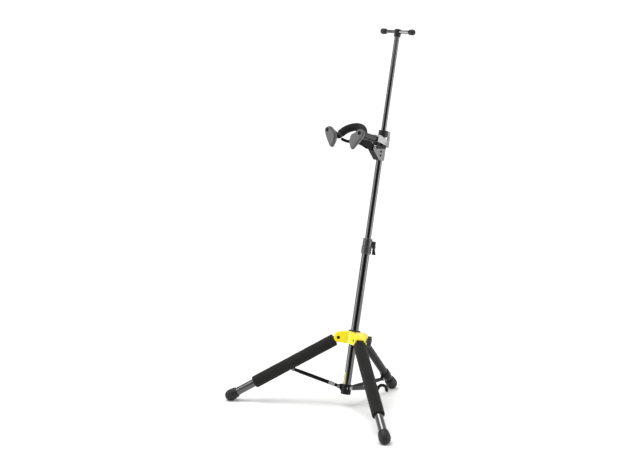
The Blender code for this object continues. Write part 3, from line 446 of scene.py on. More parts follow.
def finish(name):
    """Procedural material: tone and roughness drift slowly, and a fine grain raises the surface."""
    mat = bpy.data.materials.get("finish_" + name)
    if mat:
        return mat
    colour, rough, metallic, coat, grain, height, drift = FINISHES[name]
    mat = bpy.data.materials.new("finish_" + name)
    mat.use_nodes = True
    nodes, links = mat.node_tree.nodes, mat.node_tree.links
    shader = nodes["Principled BSDF"]
    shader.inputs["Metallic"].default_value = metallic
    shader.inputs["Coat Weight"].default_value = coat
    shader.inputs["Coat Roughness"].default_value = 0.06
    shader.inputs["Specular IOR Level"].default_value = SPECULAR.get(name, 0.5)
    place = nodes.new("ShaderNodeTexCoord")

    def noise_node(scale, detail):
        tex = nodes.new("ShaderNodeTexNoise")
        tex.inputs["Scale"].default_value = scale
        tex.inputs["Detail"].default_value = detail
        links.new(place.outputs["Object"], tex.inputs["Vector"])
        return tex

    slow = noise_node(38.0, 4.0)
    mix = nodes.new("ShaderNodeMix")
    mix.data_type = "RGBA"
    mix.inputs["A"].default_value = (*[c * (1 - drift) for c in colour], 1)
    mix.inputs["B"].default_value = (*[min(1, c * (1 + drift)) for c in colour], 1)
    links.new(slow.outputs["Fac"], mix.inputs["Factor"])
    links.new(mix.outputs["Result"], shader.inputs["Base Color"])
    ramp = nodes.new("ShaderNodeMapRange")
    ramp.inputs["To Min"].default_value = rough * 0.82
    ramp.inputs["To Max"].default_value = min(1.0, rough * 1.18)
    links.new(noise_node(120.0, 3.0).outputs["Fac"], ramp.inputs["Value"])
    links.new(ramp.outputs["Result"], shader.inputs["Roughness"])
    fine = noise_node(grain, 3.0)
    bump = nodes.new("ShaderNodeBump")
    bump.inputs["Strength"].default_value = 1.0
    bump.inputs["Distance"].default_value = height
    links.new(fine.outputs["Fac"], bump.inputs["Height"])
    links.new(bump.outputs["Normal"], shader.inputs["Normal"])
    if name == "foam":
        shader.inputs["Sheen Weight"].default_value = 0.06
        shader.inputs["Sheen Roughness"].default_value = 0.5
        pores = nodes.new("ShaderNodeTexVoronoi")
        pores.inputs["Scale"].default_value = 1100
        links.new(place.outputs["Object"], pores.inputs["Vector"])
        second = nodes.new("ShaderNodeBump")
        second.inputs["Strength"].default_value = 0.6
        second.inputs["Distance"].default_value = 0.00015
        links.new(pores.outputs["Distance"], second.inputs["Height"])
        links.new(bump.outputs["Normal"], second.inputs["Normal"])
        links.new(second.outputs["Normal"], shader.inputs["Normal"])
    if name == "hub_yellow":
        shader.inputs["Subsurface Weight"].default_value = 0.08
        shader.inputs["Subsurface Radius"].default_value = (0.004, 0.002, 0.0008)
        shader.inputs["Subsurface Scale"].default_value = 1.0
    return mat


# ---------------------------------------------------------------- mast
def build_mast():
    look("lower_mast_tube", turned(pipe(LOWER_R, LOWER_R - LOWER_WALL, 0, LOWER_TOP), MAST, 128))
    bore = LOWER_R - LOWER_WALL - GAP
    plug = [(0, -0.0090), (0.0120, -0.0088), (LOWER_R, -0.0070), (LOWER_R, -GAP), (bore, -GAP),
            (bore, 0.013), (0, 0.014)]
    look("base_end_plug", spin(plug, 0.0006, MAST))
    look("middle_tube", turned(pipe(MIDDLE_R, MIDDLE_R - MIDDLE_WALL, MIDDLE_LOW, MIDDLE_TOP), MAST, 128))
    bore = MIDDLE_R - MIDDLE_WALL - GAP
    guide = [(0, MIDDLE_LOW - 0.004), (0.0125, MIDDLE_LOW - 0.004), (0.0125, MIDDLE_LOW - GAP),
             (bore, MIDDLE_LOW - GAP), (bore, MIDDLE_LOW + 0.012), (0, MIDDLE_LOW + 0.012)]
    look("middle_tube_guide", spin(guide, 0.0004, MAST))
    look("top_rod", turned(pipe(ROD_R, ROD_R - ROD_WALL, ROD_LOW, ROD_TOP), MAST, 112))


def build_base():
    added = [turned(pipe(0.0178, LOWER_R + GAP, -0.0095, 0.0250, 0.0008), MAST)]
    fork = [(0.0155, -0.0030), (0.0155, 0.0240), (0.0200, 0.0240)] + arc(BASE_PIVOT, 0.0072, 60, -110, 16)
    for angle in LEGS.values():
        turn = MAST @ turn_to(angle)
        for low, high in ((-0.0061, -0.0036), (0.0036, 0.0061)):
            added.append(plate(fork, low, high, "Y", turn, 0.0005))
    merge("base_bracket", added, (), 0.0005, 3)
    for side, angle in LEGS.items():
        at = MAST @ turn_to(angle) @ along("Y", (BASE_PIVOT[0], 0, BASE_PIVOT[1]))
        heads = []
        for end in (-1, 1):
            head = [(0, 0.0052), (0.0046, 0.0060), (0.0046, 0.0070), (0.0038, 0.0079), (0.0020, 0.0084),
                    (0, 0.0085)]
            profile = [(r, end * z) for r, z in rounded(head, 0.0006, closed=False)]
            heads.append(turned(profile, at, 40))
        extra(f"base_rivet_{side}", join(peg(0.0019, -0.0062, 0.0062, at, 32), *heads), "stand",
              "rivet")


def build_floor_hook():
    out = Vector((math.sin(KNOB_DIRECTION), -math.cos(KNOB_DIRECTION), 0))
    route = [(0.0182, 0.0140), (0.030, 0.0150), (0.065, 0.0215), (0.100, 0.0310), (0.108, 0.0330)]
    points = smooth_path([out * r + Vector((0, 0, s)) for r, s in route], 8)
    clip = [out * r + Vector((0, 0, s)) for r, s in arc((0.126, 0.0270), 0.0155, -20, 200, 40)]
    shapes = [sweep(points, 0.0039, MAST, 32, dome=False), sweep(clip, 0.0057, MAST, 32)]
    merge("floor_hook", shapes, (), 0.0005, 4)


def lever_lug(place, outline, slot_low, slot_high, half=0.0068):
    """Lug of a clamp and the slot that its lever sits in."""
    lug = plate(outline, -half, half, "Y", place, 0.0008, corner=0.001)
    slot_box = box((slot_low[0], -0.0045, slot_low[1]), (slot_high[0], 0.0045, slot_high[1]), place)
    return lug, slot_box


def build_clutch():
    bore = LOWER_R + GAP
    sleeve = [(bore, 0.4880), (0.0164, 0.4880), (0.0172, 0.4886), (0.0172, 0.4905), (0.0182, 0.4916),
              (0.0182, 0.5100), (0.0186, 0.5104), (0.0186, 0.5124), (0.0178, 0.5128), (bore, 0.5128)]

    def grips(r, z, angle):
        if r > 0.0181 and 0.4916 <= z <= 0.5101:
            return r - 0.00022 * (0.5 + 0.5 * math.cos(28 * angle)), z
        return r, z

    look("clutch_sleeve", turned(rounded(sleeve, 0.0003, steps=3), MAST, 224, grips))
    head = [(bore, 0.5131), (0.0176, 0.5131), (0.0178, 0.5136), (0.0176, 0.5150), (0.0170, 0.5156),
            (0.0168, 0.5380), (0.0174, 0.5386), (0.0174, 0.5416), (0.0158, 0.5430), (0.0118, 0.5430),
            (0.0118, 0.5412), (bore, 0.5412)]
    body = turned(rounded(head, 0.0003, steps=3), MAST, 128)
    turn = MAST @ turn_to(KNOB_DIRECTION)
    outline = [(0.0158, 0.5137), (0.0158, 0.5355), (0.0290, 0.5355), (0.0305, 0.5340), (0.0305, 0.5095),
               (0.0195, 0.5095), (0.0195, 0.5137)]
    lug, slot_box = lever_lug(turn, outline, (0.0215, 0.500), (0.040, 0.5190))
    hole = peg(0.0014, -0.009, 0.009, turn @ along("Y", (0.0258, 0, 0.5140)), 32)
    merge("clutch_head", [body, lug], [slot_box, hole], 0.00045, 3)
    pin = rod(0.0011, -0.0068, 0.0068, 0.0003)
    look("clutch_lever_pin", turned(pin, turn @ along("Y", (0.0258, 0, 0.5140)), 32))
    inner = MIDDLE_R + GAP
    wall = LOWER_R - LOWER_WALL - GAP
    bush = [(inner, 0.500), (wall, 0.500), (wall, LOWER_TOP + GAP), (0.0142, LOWER_TOP + GAP),
            (0.0142, 0.5409), (inner, 0.5409)]
    look("clutch_bush", turned(rounded(bush, 0.0002, steps=2), MAST))
    axis = upright_frame("clutch_squeeze", 1)
    blade = [(-0.0016, 0.0), (0.0012, 0.0012), (0.0040, -0.0050), (0.0088, -0.0238), (0.0080, -0.0255),
             (-0.0040, -0.0255), (-0.0044, -0.0245), (-0.0044, -0.0066), (-0.0030, -0.0042)]
    shapes = [plate(blade, -0.0042, 0.0042, "Y", axis, 0.0007, corner=0.0012),
              peg(0.0030, -0.0042, 0.0042, axis @ along("Y"), 40)]
    ridges = []
    for k in range(4):
        place = axis @ along("Y", (0.0050 + 0.0009 * k, 0, -0.0098 - 0.0034 * k))
        ridges.append(peg(0.0004, -0.0036, 0.0036, place, 16, edge=0.0002))
    hole = peg(0.0014, -0.009, 0.009, axis @ along("Y"), 32)
    merge("clutch_lever", shapes + ridges, [hole], 0.00035, 2)


def build_top_clamp():
    wide, narrow = MIDDLE_R + GAP, ROD_R + GAP
    low, high, step = 0.9025, 0.9245, MIDDLE_TOP + GAP
    ring = [(wide, low), (0.0157, low), (0.0165, low + 0.0012), (0.0165, 0.9180), (0.0160, 0.9188),
            (0.0160, 0.9200), (0.0165, high - 0.003), (0.0172, high - 0.002), (0.0172, high - 0.0006),
            (0.0166, high), (narrow, high), (narrow, step), (wide, step)]
    body = turned(rounded(ring, 0.0003, steps=3), MAST, 128)
    turn = MAST @ turn_to(CLAMP_DIRECTION)
    outline = [(0.0150, 0.9035), (0.0150, 0.9225), (0.0235, 0.9225), (0.0245, 0.9205), (0.0245, 0.9035)]
    lug, slot_box = lever_lug(turn, outline, (0.0178, 0.890), (0.040, 0.9143))
    at = turn @ along("Y", (0.0211, 0, 0.9075))
    hole = peg(0.0014, -0.009, 0.009, at, 32)
    merge("top_clamp_ring", [body], [slot_box.copy(), hole.copy()], 0.00045, 3, tone="cap")
    lug = fuse("top_clamp_lug", [lug], [slot_box, hole], 0.00045, 2)
    extra("top_clamp_lug", lug, BODY_OF["top_clamp_ring"], "lever_light")
    look("top_clamp_pin", peg(0.0011, -0.0068, 0.0068, at, 32, edge=0.0003))
    axis = upright_frame("top_clamp_flip", -1)
    blade = [(-0.0028, 0.0)] + arc((0, 0), 0.0028, 150, 40, 8)
    blade += [(0.0035, 0.0010), (0.0060, -0.0035), (0.0060, -0.0395), (0.0045, -0.0410),
              (-0.0015, -0.0410), (-0.0028, -0.0395)]
    window = box((-0.0008, -0.01, -0.0380), (0.0036, 0.01, -0.0335), axis, 0.0006)
    hole = peg(0.0014, -0.009, 0.009, axis @ along("Y"), 32)
    shape = plate(blade, -0.0042, 0.0042, "Y", axis, 0.0008, corner=0.0006)
    merge("top_clamp_lever", [shape], [window, hole], 0.00035, 2, tone="lever_light")


def build_hanger():
    bore = ROD_R + GAP
    block = [(0, ROD_TOP + GAP), (bore, ROD_TOP + GAP), (bore, 1.2540), (0.0108, 1.2540),
             (0.0116, 1.2560), (0.0116, 1.2790), (0.0105, 1.2806), (0.0080, 1.2814), (0, 1.2816)]
    across = MAST @ along("X", (0, 0, HANGER_S))
    cut = peg(HANGER_R + GAP, -0.02, 0.02, across, 64)
    merge("hanger_block", [spin(block, 0.0006, MAST)], [cut], 0.00045, 2)
    half = HANGER_KNOB_X - 0.001
    look("hanger_bar", peg(HANGER_R, -half, half, across, 64, edge=0.0006))
    end = -0.001 + GAP
    knob = [(0, end), (HANGER_R + GAP, end), (HANGER_R + GAP, -0.0115), (0.0078, -0.0115),
            (0.0094, -0.0095), (0.0101, -0.003), (0.0103, 0.003), (0.0097, 0.0075), (0.0082, 0.0100),
            (0.0060, 0.0112), (0, 0.0117)]
    for name, side in (("left", -1), ("right", 1)):
        at = Matrix.Translation((side * HANGER_KNOB_X, 0, HANGER_S))
        at = at @ Matrix.Rotation(side * math.pi / 2, 4, "Y")
        look(f"hanger_knob_{name}", spin(knob, 0.0012, MAST @ at, 80))


# ---------------------------------------------------------------- hub
def build_hub():
    hub = MAST @ Matrix.Translation((0, 0, HUB_S))
    low, high = -0.0165, 0.0280
    core = [(0, low), (0.0262, low), (0.0262, high - 0.002), (0.0240, high), (0, high)]
    added = [spin(core, 0.0015, hub, 128)]
    lobe = [(0, low)] + arc((LEG_PIVOT_R, 0), 0.0163, -90, 0, 16)
    lobe += [(0.0672, 0.0080), (0.0655, 0.0118), (0.0615, 0.0165), (0.0540, 0.0212), (0.0430, 0.0250),
             (0.0320, 0.0270), (0.0230, 0.0278), (0, 0.0278)]
    for angle in LEGS.values():
        added.append(plate(lobe, -0.0203, 0.0203, "Y", hub @ turn_to(angle), 0.0028))
    knob_way = hub @ turn_to(KNOB_DIRECTION) @ along("X")
    boss = [(0, 0.020), (0.0085, 0.020), (0.0085, 0.0475), (0, 0.0475)]
    added.append(spin(boss, 0.0012, knob_way, 64))
    slot_line = [(LEG_PIVOT_R - 0.0137, -0.04)] + arc((LEG_PIVOT_R, 0), 0.0137, 180, 37, 20)
    slot_line += [(LEG_PIVOT_R + 0.0349, -0.0098), (LEG_PIVOT_R + 0.0349, -0.04)]
    cuts = [plate(slot_line, -0.0131, 0.0131, "Y", hub @ turn_to(a), 0.0005) for a in LEGS.values()]
    cuts.append(peg(0.0190, -0.03, 0.04, hub, 96))
    for angle in LEGS.values():
        at = hub @ turn_to(angle) @ along("Y", (LEG_PIVOT_R, 0, 0))
        cuts.append(peg(0.0033, -0.03, 0.03, at, 40))
        for start, stop in ((-0.03, -0.0183), (0.0183, 0.03)):
            cuts.append(peg(0.0060, start, stop, at, 48))
    cuts.append(peg(0.0043, 0.010, 0.06, knob_way, 40))
    merge("hub_body", added, cuts, 0.0008, 4)
    for side, angle in LEGS.items():
        at = hub @ turn_to(angle) @ along("Y", (LEG_PIVOT_R, 0, 0))
        caps = []
        for end in (-1, 1):
            cap = [(0.0034, 0.0184), (0.0058, 0.0184), (0.0058, 0.0193), (0.0034, 0.0193)]
            caps.append(turned([(r, end * y) for r, y in rounded(cap, 0.0002, steps=3)], at, 48))
        extra(f"leg_pin_washers_{side}", join(*caps), "hub", "dark_metal_and_painted_shade")
        look(f"leg_pin_{side}", peg(0.0030, -0.0178, 0.0178, at, 40, edge=0.0007), tone="dark_metal_and_painted_shade")
    inner = LOWER_R + GAP
    bush = [(inner, low), (0.0187, low), (0.0187, high + GAP), (0.0212, high + GAP),
            (0.0206, high + 0.0035), (0.0165, high + 0.0040), (inner, high + 0.0040)]
    look("hub_bush", turned(rounded(bush, 0.0005, steps=3), hub, 112))


def build_knob():
    origin = Vector(JOINTS["hub_knob_turn"]["pos_m"])
    z = Vector(JOINTS["hub_knob_turn"]["axis"]).normalized()
    x = UP.cross(z).normalized()
    at = basis(origin, x, z.cross(x), z)
    lobes, count = 10, 240
    outline = []
    for i in range(count):
        angle = 2 * math.pi * i / count
        radius = 0.0188 + 0.0009 * math.cos(lobes * angle)
        outline.append((radius * math.cos(angle), radius * math.sin(angle)))
    layers = [(0.0500, 0.0030), (0.0501, 0.0018), (0.0505, 0.0009), (0.0512, 0.0003), (0.0522, 0.0),
              (0.0605, 0.0), (0.0617, 0.0003), (0.0626, 0.0009), (0.0632, 0.0018), (0.0635, 0.0030),
              (0.0634, 0.0040), (0.0630, 0.0050), (0.0626, 0.0065), (0.0624, 0.0090), (0.0624, 0.0130)]
    dish = slab(outline, layers, at)
    hole = peg(0.0043, 0.030, 0.0580, at, 40)
    merge("hub_knob", [dish], [hole], sharp=40)
    screw = [(0, 0.0192), (0.0035, 0.0192)]
    for k in range(90):
        screw.append((0.0040 if k % 2 else 0.0037, 0.0200 + 0.0004 * k))
    screw += [(0.0038, 0.0575), (0, 0.0575)]
    look("hub_knob_screw", turned(screw, at, 40))


# ---------------------------------------------------------------- legs
def rumple(point, amount, scale):
    return amount * noise.noise(Vector(point) * scale)


def build_leg(side):
    leg = hanging_frame(f"leg_{side}_fold", 1, f"leg_tube_{side}")
    bottom = min((leg.inverted() @ p).z for p in node_points(f"leg_tube_{side}"))
    inner = LEG_R - LEG_WALL
    look(f"leg_tube_{side}", turned(pipe(LEG_R, inner, bottom, -LEG_START), leg, 128))
    neck = -LEG_START + GAP
    spigot = [(0, -0.040), (inner - GAP, -0.040), (inner - GAP, neck), (0.0124, neck), (0.0124, 0.0),
              (0, 0.0)]
    shapes = [peg(0.0124, -0.0127, 0.0127, leg @ along("Y"), 96, edge=0.0008),
              spin(spigot, 0.0004, leg, 96)]
    hole = peg(0.0033, -0.03, 0.03, leg @ along("Y"), 40)
    merge(f"leg_fitting_{side}", shapes, [hole], 0.0006, 3)
    build_foot(side, leg, bottom)
    build_strut(side, leg)
    if side != "back":
        build_foam(side, leg)


def build_foot(side, leg, bottom):
    """Rubber bulb with square panels sunk into it and a worn flat where it stands."""
    half = arc((0, 0), FOOT_R, -90, 0, 26)
    outer = [(r, z + bottom) for r, z in half]
    outer += [(0.0203, 0.006 + bottom), (0.0201, 0.0095 + bottom), (0.0197, 0.0125 + bottom),
              (0.0193, 0.0160 + bottom), (0.0188, 0.0200 + bottom), (0.0183, 0.0225 + bottom),
              (0.0183, 0.0240 + bottom), (0.0177, 0.0250 + bottom), (0.0174, 0.0268 + bottom),
              (0.0168, 0.0270 + bottom), (LEG_R + GAP, 0.0270 + bottom), (LEG_R + GAP, -GAP + bottom),
              (0, -GAP + bottom)]
    dense = []
    for (r0, z0), (r1, z1) in zip(outer, outer[1:]):
        steps = max(1, int(math.hypot(r1 - r0, z1 - z0) / 0.0009)) if r0 > LEG_R + 0.001 else 1
        dense += [(r0 + (r1 - r0) * k / steps, z0 + (z1 - z0) * k / steps) for k in range(steps)]
    dense.append(outer[-1])

    def panels(r, z, angle):
        height = z - bottom
        if r < LEG_R + 0.001 or height > 0.012:
            return r, z
        lat = math.degrees(math.atan2(height, r))
        row = (lat + 62) / 27
        column = angle / (2 * math.pi) * 12
        inside = min(edge_ramp(row % 1, 0.14), edge_ramp(column % 1, 0.12))
        if not 0 <= row < 2.95:
            return r, z
        sink = 0.00075 * inside
        length = math.hypot(r, height)
        return r * (1 - sink / length), bottom + height * (1 - sink / length)

    foot = fuse(f"foot_{side}", [turned(dense, leg, 192, panels)],
                [box((-1, -1, -0.2), (1, 1, 0.00001), Matrix.Identity(4), 0.0)])
    look(f"foot_{side}", foot, 40)


def edge_ramp(t, margin):
    """0 at the edges of a unit cell and 1 inside it."""
    near = min(t, 1 - t)
    return min(1.0, max(0.0, (near - margin * 0.5) / (margin * 0.5)))


def build_strut(side, leg):
    at = -STRUT_AT[side]
    low, high = at - 0.012, at + 0.012
    joint = (-STRUT_OFFSET, at)
    root = -LEG_R - 0.0011
    ear = [(root, high - 0.002)] + arc(joint, 0.0066, 110, 250, 16) + [(root, low + 0.002)]
    band = rounded([(LEG_R + GAP, low), (LEG_R + 0.0028, low), (LEG_R + 0.0028, high), (LEG_R + GAP, high)],
                   0.0006)
    shapes = [turned(band, leg, 112)]
    for near, far in ((-0.0060, -0.0035), (0.0035, 0.0060)):
        shapes.append(plate(ear, near, far, "Y", leg, 0.0005))
    place = leg @ along("Y", (joint[0], 0, joint[1]))
    hole = peg(0.0027, -0.02, 0.02, place, 40)
    merge(f"strut_clamp_{side}", shapes, [hole], 0.0005, 2)
    head = [(0, -0.0080), (0.0026, -0.0078), (0.0040, -0.0070), (0.0040, -0.0063), (0.0024, -0.0063),
            (0.0024, 0.0063), (0.0040, 0.0063), (0.0040, 0.0070), (0.0026, 0.0078), (0, 0.0080)]
    look(f"strut_pin_{side}", spin(head, 0.0005, place, 48))
    strut = hanging_frame(f"strut_{side}_swing", -1, f"strut_bar_{side}")
    length = -min((strut.inverted() @ p).z for p in node_points(f"strut_bar_{side}")) - 0.0050
    bar = arc((0, 0), 0.0050, 180, 0, 16) + [(0.0064, -0.028), (0.0064, -length + 0.030)]
    bar += arc((0, -length), 0.0050, 0, -180, 16) + [(-0.0064, -length + 0.030), (-0.0064, -0.028)]
    flat = plate(bar, -0.003, 0.003, "Y", strut, 0.0007)
    holes = [peg(0.0027, -0.02, 0.02, strut @ along("Y"), 40),
             peg(0.0022, -0.02, 0.02, strut @ along("Y", (0, 0, -length)), 40)]
    merge(f"strut_bar_{side}", [flat], holes, sharp=28)


def build_foam(side, leg):
    """Foam sleeve with a soft skin, slightly uneven, slit underneath for the strut's ears."""
    inner = LEG_R + GAP
    ends = 0.0045
    profile = [(inner, -FOAM_END + 0.0012)]
    for k in range(9):
        a = math.radians(-90 + 90 * k / 8)
        profile.append((FOAM_R - ends + ends * math.cos(a), -FOAM_END + ends + ends * math.sin(a)))
    rows = 150
    start, stop = -FOAM_END + ends, -FOAM_START - ends
    for k in range(1, rows):
        profile.append((FOAM_R, start + (stop - start) * k / rows))
    for k in range(9):
        a = math.radians(90 * k / 8)
        profile.append((FOAM_R - ends + ends * math.cos(a), -FOAM_START - ends + ends * math.sin(a)))
    profile.append((inner, -FOAM_START - 0.0012))

    def skin(r, z, angle):
        if r <= inner + 0.0002:
            return r, z
        p = (math.cos(angle) * r, math.sin(angle) * r, z)
        wave = rumple(p, 0.00040, 28) + rumple(p, 0.00016, 130) + rumple(p, 0.00005, 600)
        dip = 0.0004 * math.exp(-((z + STRUT_AT[side]) / 0.012) ** 2)
        return r + wave - 0.00045 - dip, z

    middle = -STRUT_AT[side]
    root = -LEG_R + 0.0002
    cuts = [box((-0.03, -0.0078, middle - 0.0130), (root, 0.0078, middle + 0.0120), leg, 0.0008),
            box((-0.03, -0.0042, middle - 0.045), (root, 0.0042, middle), leg, 0.0008)]
    foam = fuse(f"leg_foam_{side}", [turned(profile, leg, 128, skin)], cuts)
    look(f"leg_foam_{side}", foam, 50)


# ---------------------------------------------------------------- yoke
def build_bracket():
    side = [(-0.0180, 0.8195), (-0.0580, 0.8530), (-0.0585, 0.8625), (-0.0540, 0.8665), (-0.0120, 0.8665),
            (-0.0070, 0.8745)] + arc(YOKE_PIVOT, 0.0065, 150, 0, 16) + [(0.0105, 0.8700), (0.0105, 0.8195)]
    pocket = [(-0.0150, 0.8100), (-0.0150, 0.8208), (-0.0478, 0.8485), (-0.0750, 0.8485), (-0.0750, 0.90),
              (0.05, 0.90), (0.05, 0.8100)]
    cuts = [plate(pocket, -0.0115, 0.0115, "X", MAST, 0.0006)]
    for y, s, r in ((-0.0150, 0.8500, 0.0022), (-0.0150, 0.8360, 0.0022), (*TRIP_PIVOT, 0.0028)):
        cuts.append(peg(r, -0.02, 0.02, MAST @ along("X", (0, y, s)), 40))
    merge("yoke_bracket", [plate(side, -0.0135, 0.0135, "X", MAST, 0.0007, corner=0.0008)], cuts, 0.0005, 2)
    pivot = MAST @ along("X", (0, *YOKE_PIVOT))
    studs = []
    for end in (-1, 1):
        stud = [(0, 0.0120), (0.0023, 0.0120), (0.0023, 0.0161), (0.0044, 0.0161), (0.0044, 0.0167),
                (0.0036, 0.0174), (0.0018, 0.0178), (0, 0.0178)]
        studs.append(turned([(r, end * z) for r, z in rounded(stud, 0.0004, closed=False)], pivot, 48))
    # Thin dark sheets on the outer faces of the bracket's sides: painted shade where the hood shadows them, not a
    # real part.
    sheet = [(-0.0535, 0.8570), (-0.0535, 0.8658), (-0.0122, 0.8658), (-0.0070, 0.8738), (-0.0010, 0.8835),
             (0.0040, 0.8855), (0.0090, 0.8835), (0.0100, 0.8780), (0.0100, 0.8620), (-0.0300, 0.8580)]
    for name, low in (("left", -0.0137), ("right", 0.0135)):
        extra(f"bracket_side_painted_shade_{name}", plate(sheet, low, low + 0.0002, "X", MAST, 0.0), "mast_middle",
              "dark_metal_and_painted_shade")
    # Dark sheet over the bracket's front web: painted shade on the face turned away from the light, not a real
    # part.
    front = [(-0.0182, 0.8195), (-0.0530, 0.8487), (-0.05315, 0.8485), (-0.01835, 0.8193)]
    extra("bracket_front_painted_shade", plate(front, -0.0122, 0.0122, "X", MAST, 0.0), "mast_middle", "dark_metal_and_painted_shade")
    extra("yoke_pivot_studs", join(*studs), "mast_middle", "rivet")
    for name, height in (("upper", 0.8500), ("lower", 0.8360)):
        at = MAST @ along("X", (0, -0.0150, height))
        screw = [(0, -0.0152), (0.0030, -0.0151), (0.0037, -0.0146), (0.0037, -0.0138), (0.0019, -0.0138),
                 (0.0019, 0.0138), (0.0037, 0.0138), (0.0037, 0.0150), (0.0032, 0.0159), (0.0, 0.0160)]
        socket = peg(0.0017, 0.0146, 0.02, at, 6, edge=0.0)
        merge(f"bracket_screw_{name}", [spin(screw, 0.0004, at, 48)], [socket], tone="dark_metal_and_painted_shade")
    at = MAST @ along("X", (0, *TRIP_PIVOT))
    pin = [(0, -0.0153), (0.0026, -0.0151), (0.0037, -0.0145), (0.0037, -0.0138), (0.0025, -0.0138),
           (0.0025, 0.0138), (0.0037, 0.0138), (0.0037, 0.0145), (0.0026, 0.0151), (0, 0.0153)]
    look("trip_pin", spin(pin, 0.0004, at, 48))


def build_trip_lever():
    stem = [(-0.1135, 0.8735), (-0.1230, 0.8705), (-0.1650, 0.8690), (-0.1650, 0.8600),
            (-0.1230, 0.8608), (-0.1135, 0.8612)]
    block = [(-0.1128, 0.8612), (-0.1128, 0.8755), (-0.1170, 0.8745), (-0.1225, 0.8712), (-0.1225, 0.8605)]
    cheek = [(-0.0478, 0.8642), (-0.0590, 0.8725), (-0.0740, 0.8775), (-0.0950, 0.8790), (-0.1150, 0.8752),
             (-0.1190, 0.8720), (-0.1190, 0.8610), (-0.1000, 0.8590), (-0.0700, 0.8505), (-0.0560, 0.8530),
             (-0.0478, 0.8560)]
    shapes = [plate(stem, -0.0050, 0.0050, "X", MAST, 0.0016, corner=0.002),
              plate(block, -0.0095, 0.0095, "X", MAST, 0.0012, corner=0.001)]
    for low, high in ((-0.0095, -0.0075), (0.0075, 0.0095)):
        shapes.append(plate(cheek, low, high, "X", MAST, 0.0005, corner=0.002))
    at = MAST @ along("X", (0, *TRIP_PIVOT))
    shapes.append(peg(0.0052, -0.0095, 0.0095, at, 64))
    half = [(0.0220, -0.1670, 0.8655), (0.0385, -0.1682, 0.8690), (0.0420, -0.1687, 0.8709),
            (0.0440, -0.1688, 0.8730)]
    route = [(-x, y, z) for x, y, z in half[::-1]] + [(0, -0.1665, 0.8645)] + half
    route = smooth_path(route, 8)
    radii = [0.0052 - 0.0010 * abs(2 * i / (len(route) - 1) - 1) ** 6 for i in range(len(route))]
    shapes.append(sweep(route, radii, MAST, 36))
    hole = peg(0.0028, -0.02, 0.02, at, 40)
    merge("trip_lever", shapes, [hole], 0.0005, 3)


FRONT_FACE = Matrix(((1, 0, 0, 0), (0, 0, -1, -0.0431), (0, -1, 0, 0), (0, 0, 0, 1)))


def build_hood():
    profile = [(-0.0430, 0.8815), (-0.0415, 0.9015), (-0.0385, 0.9055), (-0.0290, 0.9055),
               (0.0040, 0.8945), (0.0112, 0.8880), (0.0112, 0.8745), (0.0040, 0.8735), (-0.0120, 0.8770)]
    pocket = [(-0.0402, 0.8600), (-0.0390, 0.9010), (-0.0290, 0.9025), (-0.0185, 0.8990), (-0.0185, 0.93),
              (0.03, 0.93), (0.03, 0.8600)]
    # Outline of the dark block that paints the shade inside the hood.
    rib = [(-0.0382, 0.8690), (-0.0382, 0.9040), (-0.0290, 0.9040), (-0.0180, 0.9005), (-0.0180, 0.8690)]
    shell = fuse("yoke_hood", [plate(profile, -0.0158, 0.0158, "X", MAST, 0.0016, corner=0.0016)],
                 [plate(pocket, -0.0138, 0.0138, "X", MAST, 0.0006),
                  peg(0.0026, -0.02, 0.02, MAST @ along("X", (0, *YOKE_PIVOT)), 40),
                  peg(0.0096, 0.0, 0.03, MAST @ along("Y", (0, -0.0686, 0.8925)), 72)], 0.0005, 3)
    look("yoke_hood", shell)
    # Dark block inside the hood: painted shade of the hood's underside, not a real part.
    extra("hood_inside_painted_shade", plate(rib, -0.0100, 0.0100, "X", MAST, 0.0005), "yoke", "dark_metal_and_painted_shade")
    # Dark sheet on the hood's front face: painted shade on the face turned away from the light, not a real part.
    front_shade_sheet = plate([(-0.0150, -0.8985), (0.0150, -0.8985), (0.0150, -0.8822), (-0.0150, -0.8822)], 0.0, 0.0003,
                "Z", MAST @ FRONT_FACE, 0.0, 0.0015)
    hole = peg(0.0096, -0.01, 0.01, MAST @ FRONT_FACE @ Matrix.Translation((0, -0.8925, 0)), 48)
    extra("hood_front_painted_shade", fuse("hood_front_painted_shade", [front_shade_sheet], [hole]), "yoke", "dark_metal_and_painted_shade")


def arch_point(angle, radius=ARCH_R):
    """Point on the padded arch; angle 0 is its back."""
    across = radius * math.cos(angle)
    return Vector((radius * math.sin(angle), ARCH_CENTRE[0] + across * math.cos(ARCH_TILT),
                   ARCH_CENTRE[1] + across * math.sin(ARCH_TILT)))


def arch_path(start, end, count):
    return [arch_point(math.radians(start + (end - start) * i / (count - 1))) for i in range(count)]


def build_arm():
    back = arch_point(0)
    spigot = [Vector((0, y, 0.8925)) for y in (-0.0392, -0.0434, -0.0436, -0.0445)]
    curve = smooth_path([(0, -0.0500, 0.8925), (0, -0.066, 0.8925), (0, -0.098, 0.8960),
                         (0, -0.125, 0.9060), back], 12)
    radii = [0.0091, 0.0091, 0.0108, 0.0112] + [0.0112] * len(curve)
    for i in range(12):
        radii[-1 - i] = 0.0070 + 0.0008 * i * 5 / 12
    rib = [(-0.0600, 0.8925), (-0.0800, 0.8938), (-0.0980, 0.8960), (-0.1120, 0.9010), (-0.1120, 0.8795),
           (-0.1080, 0.8738), (-0.1000, 0.8720), (-0.0660, 0.8720), (-0.0470, 0.8795), (-0.0470, 0.8900)]
    shapes = [sweep(spigot + curve, radii, MAST, 64, dome=False),
              plate(rib, -0.0040, 0.0040, "X", MAST, 0.0006, corner=0.0012),
              sweep(arch_path(-96, 96, 60), ARCH_TUBE_R, MAST, 32, dome=False)]
    merge("yoke_arm", shapes, (), 0.0006, 4)


